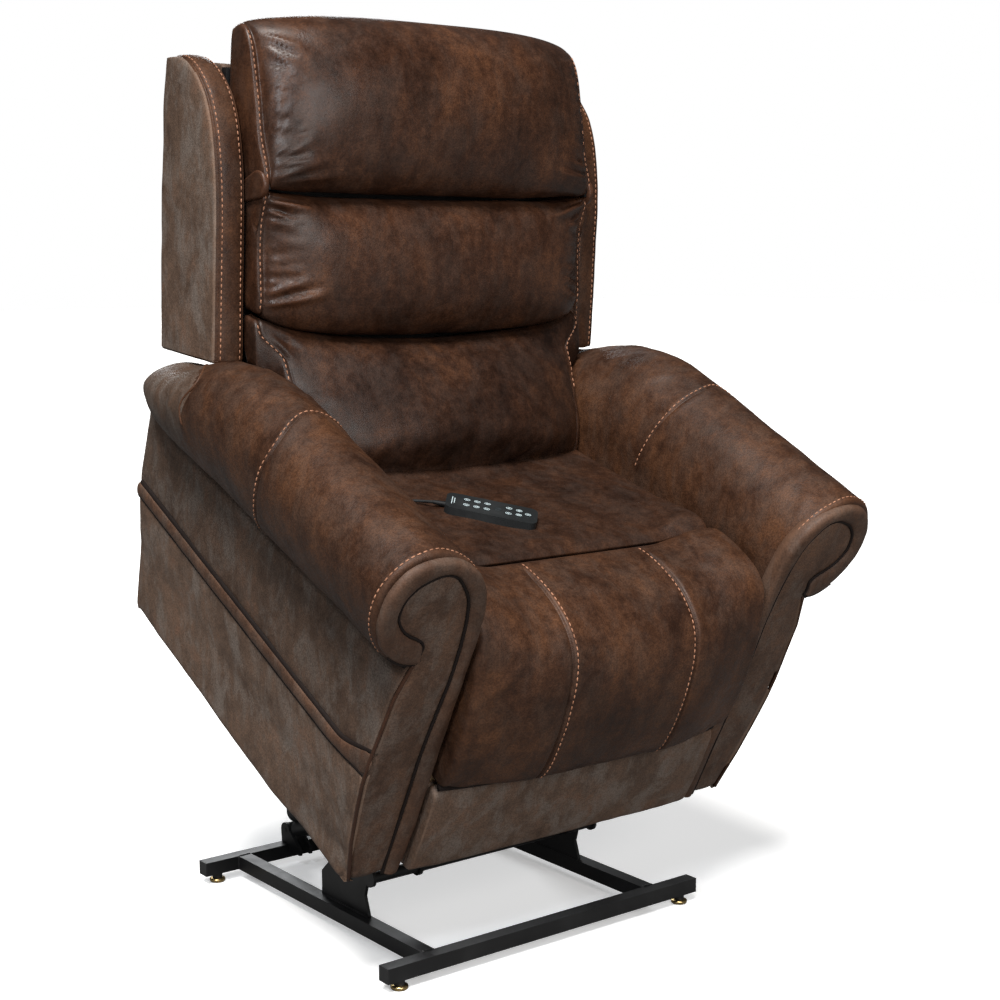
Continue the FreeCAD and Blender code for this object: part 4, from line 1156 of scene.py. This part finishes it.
def seat():
    """The seat cushion, with a shallow bed under the handset's cord."""
    rings = ends(seat_rings(SEAT_OUTLINE, seat_shape), ROUND_END)
    piece = loft("seat_cover", rings, SEAT, body="chair_body", slot="leather",
                 replaces=["seat_cushion"])

    def held(p):
        under_handset = 1 - smoothstep(75, 130, np.hypot((p[:, 0] + 150) / 1.7, p[:, 1] - 345))
        return np.maximum.reduce([1 - smoothstep(352, 372, p[:, 2]), under_handset,
                                  1 - smoothstep(160, 215, p[:, 1]),
                                  smoothstep(280, 292, np.abs(p[:, 0]))])

    swell(piece, held, pressure=2.5, cap=6)
    where = unchair(read(piece))
    top = smoothstep(390, 420, where[:, 2])
    flat = where[:, :2]
    amount = lumps(where, (2.2, 120, 15), (0.8, 40, 18)) + folds(flat, SEAT_FOLDS)
    bed = resample(np.array(CORD_POINTS)[:, :2], 60)
    near = np.min(np.hypot(*(flat[:, None] - bed[None]).transpose(2, 0, 1)), axis=1)
    amount -= 5.0 * np.exp(-(near / 13) ** 2)
    push(piece, amount * top)


ROLL_SEAM = 130
# The stitches' way over the front roll, as (y, z).
ROLL_SEAM_LINE = [(143, 467), (112, 469), (60, 470), (20, 462), (-14, 444), (-42, 414), (-56, 372),
                  (-64, 320), (-66, 270), (-65, 230), (-58, 206), (-46, 194)]
# By (x, distance run down the front).
FRONT_ROLL_FOLDS = [((-286, -140), (-225, -95), 8, 3.0), ((286, -120), (215, -60), 9, 3.0),
                    ((-286, -330), (-230, -290), 10, 3.0), ((286, -330), (225, -295), 10, 3.0),
                    ((-285, -180), (-240, -170), 7, 2.0), ((-285, -215), (-245, -200), 7, 2.0),
                    ((-285, -250), (-240, -228), 7, 2.0), ((285, -200), (240, -190), 8, 1.8)]


def front_roll():
    """The padded roll on the footrest, with two stitched seams down its front."""
    rings = ends(seat_rings(ROLL_OUTLINE, roll_shape, (-ROLL_SEAM, ROLL_SEAM)), ROUND_END)
    piece = loft("front_roll_cover", rings, LEATHER, body="footrest", slot="leather",
                 replaces=["front_roll"])

    def held(p):
        rear = np.maximum(smoothstep(-2, 8, p[:, 1]) * (1 - smoothstep(390, 410, p[:, 2])),
                          smoothstep(120, 136, p[:, 1]))
        seam = np.exp(-((np.abs(p[:, 0]) - ROLL_SEAM) / 7) ** 2)
        return np.maximum.reduce([rear, seam, smoothstep(284, 293, np.abs(p[:, 0]))])

    swell(piece, held, pressure=3.5, cap=10)
    where = unchair(read(piece))
    front = 1 - smoothstep(100, 140, where[:, 1]) * smoothstep(450, 470, where[:, 2])
    front *= (where[:, 1] < 130) & ((where[:, 1] < 2) | (where[:, 2] > 410))
    off = np.abs(np.abs(where[:, 0]) - ROLL_SEAM)
    amount = lumps(where, (1.8, 115, 25), (0.7, 38, 28))
    amount += -4.5 * np.exp(-(off / 2.6) ** 2) + 1.2 * np.exp(-((off - 12) / 8) ** 2)
    run = np.where(where[:, 2] > 440, -where[:, 1], where[:, 2] - 440 - 60)
    amount += folds(np.stack([where[:, 0], run], axis=1), FRONT_ROLL_FOLDS)
    push(piece, amount * front)
    for word, side in SIDES.items():
        line = spline([((ROLL_SEAM - 7.5) * side, y, z) for y, z in ROLL_SEAM_LINE], 60)
        stitches(f"stitch_front_roll_{word}", line, piece, "footrest")


def lower_pad():
    """The flat pad under the front roll, and a near-black tube of painted shade between them."""
    outline = catmull([(-18, 13), (-22, 30), (-24, 95), (-22, 150), (-18, 168), (-8, 174),
                       (4, 174), (9.5, 168), (9.5, 100), (9.5, 15), (4, 8), (-9, 7)], 6,
                      closed=True)
    half = 286
    rings = []
    for x in np.linspace(-half, half, 80):
        ring = np.column_stack([np.full(len(outline), x), outline])
        ring[:, 1] += (outline[:, 0] < 0) * 3 * smoothstep(0.8, 1, abs(x) / half)
        rings.append(ring)
    corner = ((2.5, 0.996), (5.5, 0.988), (7.6, 0.97), (8.6, 0.94), (9.0, 0.8), (9.0, 0.4))
    piece = loft("lower_pad_cover", ends(rings, corner), LIT_PANEL, body="footrest",
                 slot="leather_panel", replaces=["footrest_lower_pad"])
    where = unchair(read(piece))
    push(piece, (where[:, 1] < 0) * lumps(where, (1.6, 90, 35), (0.6, 30, 38)))
    # Painted shade under the roll's lower edge.
    shade_tube("shade_tube_front_roll", [(x, -26 + 14 * (abs(x) / 290) ** 3, 181) for x in
                                 np.linspace(-290, 290, 60)], 6.0, (0, 0, 1), PAINTED_SHADE, "footrest")


# ---------------------------------------------------------------- wings and the back's rear

WING_FRONT = [(184, -87), (202, -88), (325, -86), (447, -83), (540, -69), (596, -48), (630, -22),
              (655, 10), (667, 42), (668, 72)]
WING_REAR = [(186, 98), (204, 100), (325, 103), (447, 104), (540, 103), (596, 101), (630, 98),
             (648, 96), (658, 94), (663, 90)]


WING_STEPS = np.concatenate([[0, 0.015, 0.04], np.linspace(0.08, 0.9, 16),
                             [0.94, 0.965, 0.98, 0.992]])
# The front band's outline, as (share across, forward).
WING_BAND = ((0.0, -2.6), (0.02, -1.0), (0.07, 1.6), (0.16, 3.4), (0.3, 4.6), (0.5, 5.2),
             (0.7, 4.6), (0.84, 3.4), (0.93, 1.6), (0.98, -1.0), (1.0, -2.6))


def wing_face(rear, chord, x, sign, crown, steps):
    """Points over one face of a wing, crowned, and tucked in at its front and rear seams."""
    long = np.linalg.norm(chord)
    points = []
    for t in steps:
        tuck = 0.0
        for gap, radius in (((1 - t) * long, 7.0), (t * long, 9.0)):
            if gap < radius:
                tuck += radius - math.sqrt(max(0.0, radius**2 - (radius - gap) ** 2))
        bulge = crown * math.sin(math.pi * t) ** 0.7
        points.append((x + sign * (bulge - tuck), *(rear + chord * t)))
    return points


def wing(word, side):
    """A padded wing: outer face, front band between two seams, inner face."""
    front, rear = catmull(WING_FRONT, 12), catmull(WING_REAR, 12)
    rings = []
    for i, (f, r) in enumerate(zip(front, rear)):
        ahead = front[min(i + 1, len(front) - 1)] - front[max(i - 1, 0)]
        ahead /= np.linalg.norm(ahead)
        out = np.array([ahead[1], -ahead[0]])
        if out @ (f - r) < 0:
            out = -out
        low = smoothstep(0, 3, i)
        ring = wing_face(r, f - r, 408, 1, 3.5 * low, WING_STEPS)
        ring += [(401 - 44 * t, *(f + out * (bulge * (0.4 + 0.6 * low)))) for t, bulge in WING_BAND]
        ring += wing_face(r, f - r, 352, -1, 1.5, WING_STEPS[::-1])
        rings.append(back(np.array(ring) * (side, 1, 1)))
    foot = rings[0]
    middle = foot.mean(axis=0)
    cap = [middle + (foot - middle) * grow + np.array([0, -drop * math.sin(LEAN), -drop])
           for grow, drop in ((0.9, 2.2), (0.97, 1.6))]
    piece = loft(f"wing_cover_{word}", cap + rings, LIT_PANEL, body="backrest", slot="leather",
                 replaces=[f"back_wing_{word}"])
    second_finish(piece, LEATHER, lambda spot: abs(spot[0]) < 405.5 and unback(spot)[2] < 70)
    local = unback(unchair(read(piece)))
    push(piece, lumps(local, (1.3, 80, 71 + side), (0.5, 28, 75 + side)))
    for number, x in enumerate((395.5, 362.5), start=1):
        line = np.array([(x * side, *f) for f in front[2:-6]])
        stitches(f"stitch_wing_{word}_{number}", back(line), piece, "backrest")


UPPER_REAR = [(188, 80), (186, 88), (192, 94), (300, 96), (420, 97), (540, 96), (630, 95),
              (652, 91), (660, 80), (662, 50), (661, 22), (655, 13), (647, 16), (646, 50),
              (644, 72), (560, 78), (420, 79), (300, 79)]
LOWER_REAR = [(24, 80), (22, 86), (28, 92), (90, 93), (150, 93), (196, 92), (204, 86), (200, 80),
              (120, 79)]


def rear_cover(name, outline, half, replaces, seed, sag):
    """A stretched cover lofted across x, crowned towards the rear."""
    outline = catmull(outline, 6, closed=True)
    rings = []
    for x in np.linspace(-half, half, 60):
        ring = np.column_stack([np.full(len(outline), x), outline])
        ring[:, 2] += np.where(outline[:, 1] > 84, sag * (1 - (x / half) ** 2), 0)
        rings.append(back(ring))
    piece = loft(name, ends(rings, ((1.5, 0.99), (2.4, 0.97), (2.8, 0.9))), PANEL,
                 body="backrest", slot="leather_panel", replaces=replaces)
    push(piece, lumps(unchair(read(piece)), (1.2, 100, seed), (0.4, 33, seed + 3)))
    return piece


def rear_panel():
    """The leather over the chair body's rear panel, tucked in at its top and bottom."""
    rings = []
    for z in np.concatenate([[8, 10, 14], np.arange(22, 238, 9), [242, 245, 246.5]]):
        y = 726 + (z - 8) * 68 / 238
        tuck = 4 * (1 - smoothstep(8, 15, z)) + 4 * smoothstep(239, 246.5, z)
        ring = [(-303 + 606 * t, y + 3.5 * math.sin(math.pi * t) ** 0.5 - tuck, z)
                for t in np.linspace(0, 1, 60)]
        rings.append(ring + [(303, y - 13, z), (-303, y - 13, z)])
    panel = loft("rear_panel_cover", rings, PANEL, body="chair_body", slot="leather_panel",
                 replaces=["rear_panel"])
    where = unchair(read(panel))
    push(panel, (where[:, 1] > 722) * lumps(where, (1.2, 80, 91)))


def stretched(name, edges, steps, half, arch, ripple, inward, material, slot):
    """A rippled cloth from the chair body to the back; edges, inward and span are (y, z) pairs."""
    low, high = np.array(edges, float)
    rows = []
    for t in steps:
        y, z = low + (high - low) * t
        free = math.sin(math.pi * min(t, 1))
        outer = [(x, y + (arch + ripple[0] * math.sin(x / ripple[1])) * free, z)
                 for x in np.linspace(-half, half, 80)]
        rows.append(outer + [(x, b + inward[0], c + inward[1]) for x, b, c in outer[::-1]])
    cloth = loft(name, rows, material, slot=slot)
    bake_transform(cloth)


def rear():
    """Covers on the back's rear, the rear panel, and the two cloths that bridge to the body."""
    upper = rear_cover("rear_cover_upper", UPPER_REAR, 344, ["back_shell"], 81, 2.5)
    rear_cover("rear_cover_lower", LOWER_REAR, 292, [], 85, 1.5)
    here, ahead = chair(back(np.array([(0, 0, 0), (0, 0, -1.0)])))
    for word, side in SIDES.items():
        line = back(np.array([(side * 336, s, 120) for s in np.linspace(200, 640, 50)]))
        stitches(f"stitch_back_shell_{word}", line, upper, "backrest",
                 Vector(ahead - here).normalized())
    rear_panel()
    stretched("rear_skirt", [(788, 238), (775, 336)], np.linspace(0, 1, 26), 294, 9, (1.3, 19.0),
              (-3.5, 0), PANEL, "leather_panel")
    # The apron is in the darker, painted-shade copy of the cushion leather.
    apron = [(597, 366), (606, 378)]
    stretched("seat_apron", apron, np.concatenate([np.linspace(0, 1, 20), [1.6, 2.3, 3.0]]), 286, 0,
              (1.2, 23.0), (2.5, -1.5), SHADED, "leather")


# ---------------------------------------------------------------- handset and base

def handset_place():
    """Where the handset lies on the seat, in the chair frame."""
    turn = Matrix.Rotation(math.radians(-8.9), 4, "X") @ Matrix.Rotation(math.radians(-40), 4, "Z")
    return Matrix.Translation((-70, 297, 443.6)) @ turn


KEY_PLACES = [(x, y) for x in (-42, -25, -8) for y in (-11, 11)] + [
    (28, 11), (28, -11), (45, 9), (45, -9), (60, 0)]
# Each mark is a few strokes in key-wide units: reclining figures of a chair, arrows, rings.
MARK_STROKES = [
    [[(-3.6, 2.4), (-1.6, -0.8), (1.4, -0.8), (2.6, -2.6)], [(1.6, 1.2), (3.4, 1.2)]],
    [[(-2.6, 2.8), (-1.6, -0.8), (1.4, -0.8), (1.6, -2.8)], [(2.4, 0.2), (3.6, 1.6)]],
    [[(-3.8, 1.0), (-1.6, -0.8), (1.4, -0.8), (3.6, -0.2)], [(0.6, 1.8), (2.8, 1.8)]],
    [[(-2.2, 2.8), (-1.8, -0.8), (1.6, -0.8), (1.6, -2.6)], [(-3.8, 2.6), (-3.8, 0.4)]],
    [[(-3.0, 2.6), (-1.6, -0.6), (1.8, 0.2), (2.8, -2.0)], [(2.2, 1.6), (3.6, 2.6)]],
    [[(-3.4, 1.8), (-1.8, -0.8), (2.0, -0.8), (3.4, -1.2)], [(-0.2, 1.4), (1.4, 2.6)]],
    [[(-2.6, -1.4), (0, 1.8), (2.6, -1.4), (-2.6, -1.4)]],
    [[(-2.6, 1.4), (0, -1.8), (2.6, 1.4), (-2.6, 1.4)]],
    [[(-3.0, 0), (-1.2, 2.0), (1.2, 2.0), (3.0, 0), (1.2, -2.0), (-1.2, -2.0), (-3.0, 0)]],
    [[(-3.2, -1.8), (-3.2, 1.8), (3.2, 1.8), (3.2, -1.8), (-3.2, -1.8)]],
    [[(-2.8, 0), (2.8, 0)], [(0, 2.2), (0, -2.2)]],
]


def strokes(name, lines, place, height, thick, body):
    """Thin raised lines on a key or the handset."""
    vertices, faces = [], []
    for line in lines:
        p = np.array(line, float)
        ways = np.gradient(p, axis=0)
        ways /= np.maximum(np.linalg.norm(ways, axis=1, keepdims=True), 1e-6)
        first = len(vertices)
        for (x, y), (dx, dy) in zip(p, ways):
            for a in range(6):
                turn = math.tau * a / 6
                vertices.append(place @ Vector((x - dy * math.cos(turn) * thick,
                                                y + dx * math.cos(turn) * thick,
                                                height + math.sin(turn) * thick * 0.5)))
        faces += ring_faces(len(p), 6, first)
    return add_mesh(name, [tuple(v) for v in vertices], faces, MARKS, body=body,
                    slot="handset_black")


LAMP_PROFILE = ((6.2, 18.9), (6.4, 19.3), (6.0, 19.6), (5.2, 19.5), (3.0, 19.2), (1.0, 19.1))


def handset():
    """The marks on the handset's keys and face, and its lamp."""
    place = handset_place()
    ring = [(4.8 * math.cos(a), 3.45 * math.sin(a)) for a in np.linspace(0, math.tau, 25)]
    for number, ((x, y), lines) in enumerate(zip(KEY_PLACES, MARK_STROKES), start=1):
        small = [[(a * 0.74, b * 0.74) for a, b in line] for line in lines]
        strokes(f"key_mark_{number:02d}", small + [ring],
                place @ Matrix.Translation((x, y, 0)), 20.05, 0.5, f"key_{number:02d}")
    bars = [[(-66, -15), (-66, 15)], [(-62, -11), (-62, 11)]]
    strokes("handset_mark", bars, place, 19.05, 0.8, "chair_body")
    rings = [[place @ Vector((10 + radius * math.cos(a), radius * math.sin(a), height))
              for a in np.linspace(0, math.tau, 24, False)] for radius, height in LAMP_PROFILE]
    loft("handset_lamp", rings, KEYS, body="chair_body", slot="handset_black")


def base_frame_point(x, y, z):
    """Base-frame millimetres to the chair frame, so that add_mesh can use them."""
    return unchair(np.array([x, y - ORIGIN_BACK, z]) / 1000)


GLIDE_PROFILE = [(4.0, 7.3), (12.6, 7.3), (14.2, 6.2), (14.5, 4.4), (14.1, 2.2), (12.6, 0.5),
                 (10.5, 0.0), (3.0, 0.0)]
GLIDE_STEPS = 40
TUBE_LOW, TUBE_HIGH = 17.3, 42.7


def glides():
    """The four brass levelling feet, as one piece."""
    vertices, faces = [], []
    for x, y in ((304, 0), (-304, 0), (290, 607), (-290, 607)):
        first = len(vertices)
        for radius, height in GLIDE_PROFILE:
            for a in np.linspace(0, math.tau, GLIDE_STEPS, False):
                vertices.append(base_frame_point(x + radius * math.cos(a),
                                                 y + radius * math.sin(a), height))
        faces += ring_faces(len(GLIDE_PROFILE), GLIDE_STEPS, first)
        faces.append(tuple(range(first, first + GLIDE_STEPS)))
        faces.append(tuple(range(len(vertices) - GLIDE_STEPS, len(vertices)))[::-1])
    add_mesh("levelling_feet", vertices, faces, BRASS, body="root", slot="glide_brass",
             replaces=["levelling_glides"])


def weld_runs():
    """Start and end of each weld on the base: rails to cross bars, brackets to rails."""
    runs = []
    for side in (-1, 1):
        x = 239 * side
        for edge in (-12.7, 12.7):
            for y in (13.2, 593.8):
                runs.append([(x + edge, y, TUBE_LOW + 1), (x + edge, y, TUBE_HIGH - 1)])
        for y in (13.2, 593.8):
            runs.append([(x - 12, y, TUBE_HIGH), (x + 12, y, TUBE_HIGH)])
        for plate in (229, 235):
            runs.append([(side * plate, 192, TUBE_HIGH), (side * plate, 332, TUBE_HIGH)])
    return np.array(runs, float)


def welds():
    """Rippled weld beads on the base, as one piece."""
    vertices, faces = [], []
    for number, (a, b) in enumerate(weld_runs()):
        long = np.linalg.norm(b - a)
        count = max(8, int(long / 1.6))
        way = (b - a) / long
        beside = np.cross(way, (0, 0, 1.0) if abs(way[2]) < 0.9 else (0, 1.0, 0))
        beside /= np.linalg.norm(beside)
        up = np.cross(beside, way)
        first = len(vertices)
        for i, t in enumerate(np.linspace(0, 1, count)):
            radius = 1.9 + 0.35 * math.sin(i * 1.6 + number) + 0.15 * math.sin(i * 0.37)
            radius *= min(1, 0.4 + 6 * min(t, 1 - t))
            for turn in np.linspace(0, math.tau, 8, False):
                reach = beside * math.cos(turn) + up * math.sin(turn)
                vertices.append(base_frame_point(*(a + (b - a) * t + radius * reach)))
        faces += closed_faces(count, 8, first)
    add_mesh("base_welds", vertices, faces, BLACK_STEEL, body="root", slot="base_steel")


# ---------------------------------------------------------------- stage

def lamp(name, kind, place, power, size, colour):
    """A sun (size is its angle) or a square soft box (size is its side), aimed at the chair."""
    data = bpy.data.lights.new(name, kind)
    data.energy, data.color = power, colour
    if kind == "SUN":
        data.angle = size
    else:
        data.size = size
    light = bpy.data.objects.new(name, data)
    light.location = place
    light.rotation_mode = "QUATERNION"
    light.rotation_quaternion = (Vector((0, 0, 0.8)) - Vector(place)).to_track_quat("-Z", "Y")
    SCENE.collection.objects.link(light)


def seen_directly(tree):
    """1 where the camera sees the surface itself, 0 where it only lights others."""
    return tree.nodes.new("ShaderNodeLightPath").outputs["Is Camera Ray"]


def studio():
    """A seamless white floor and surround that light the chair only softly from below."""
    n = Nodes("pale_floor")
    tone = n.noise(1.2, 3.0)
    shown = n.blend(n.spread(tone, 0.3, 0.7), (0.97, 0.97, 0.97), (0.95, 0.95, 0.95))
    glow = n.sums("MULTIPLY", seen_directly(n.tree), 0.35)
    n.set(Base_Color=n.blend(seen_directly(n.tree), (0.14, 0.14, 0.14), shown), Roughness=0.9,
          Emission_Color=(1, 1, 1, 1), Emission_Strength=glow)
    mesh = bpy.data.meshes.new("floor")
    mesh.from_pydata([(-30, -30, 0), (30, -30, 0), (30, 30, 0), (-30, 30, 0)], [], [(0, 1, 2, 3)])
    mesh.materials.append(n.material)
    floor = bpy.data.objects.new("floor", mesh)
    SCENE.collection.objects.link(floor)
    world = bpy.data.worlds.new("studio")
    world.use_nodes = True
    tree = world.node_tree
    power = tree.nodes.new("ShaderNodeMapRange")
    power.inputs["To Min"].default_value = 0.075
    power.inputs["To Max"].default_value = 1.0
    tree.links.new(seen_directly(tree), power.inputs["Value"])
    tree.links.new(power.outputs[0], tree.nodes["Background"].inputs["Strength"])
    tree.nodes["Background"].inputs["Color"].default_value = (1.0, 1.0, 1.0, 1)
    SCENE.world = world
    lamp("key", "SUN", (-1.7, -1.5, 4.8), 4.5, math.radians(20), (1.0, 0.98, 0.95))
    lamp("front", "AREA", (-0.7, -3.8, 1.9), 68, 1.6, (1.0, 0.975, 0.95))
    lamp("gleam", "AREA", (-2.5, -1.8, 2.4), 38, 0.45, (0.90, 0.95, 1.0))
    lamp("rear", "AREA", (1.2, 3.4, 2.4), 60, 1.6, (0.96, 0.98, 1.0))
    SCENE.view_settings.view_transform = "Standard"


camera()
handset_cord()
dress_nodes()
studio()
arms()
back_cushions()
hinge_covers()
seat()
front_roll()
lower_pad()
for word, side in SIDES.items():
    wing(word, side)
rear()
handset()
glides()
welds()
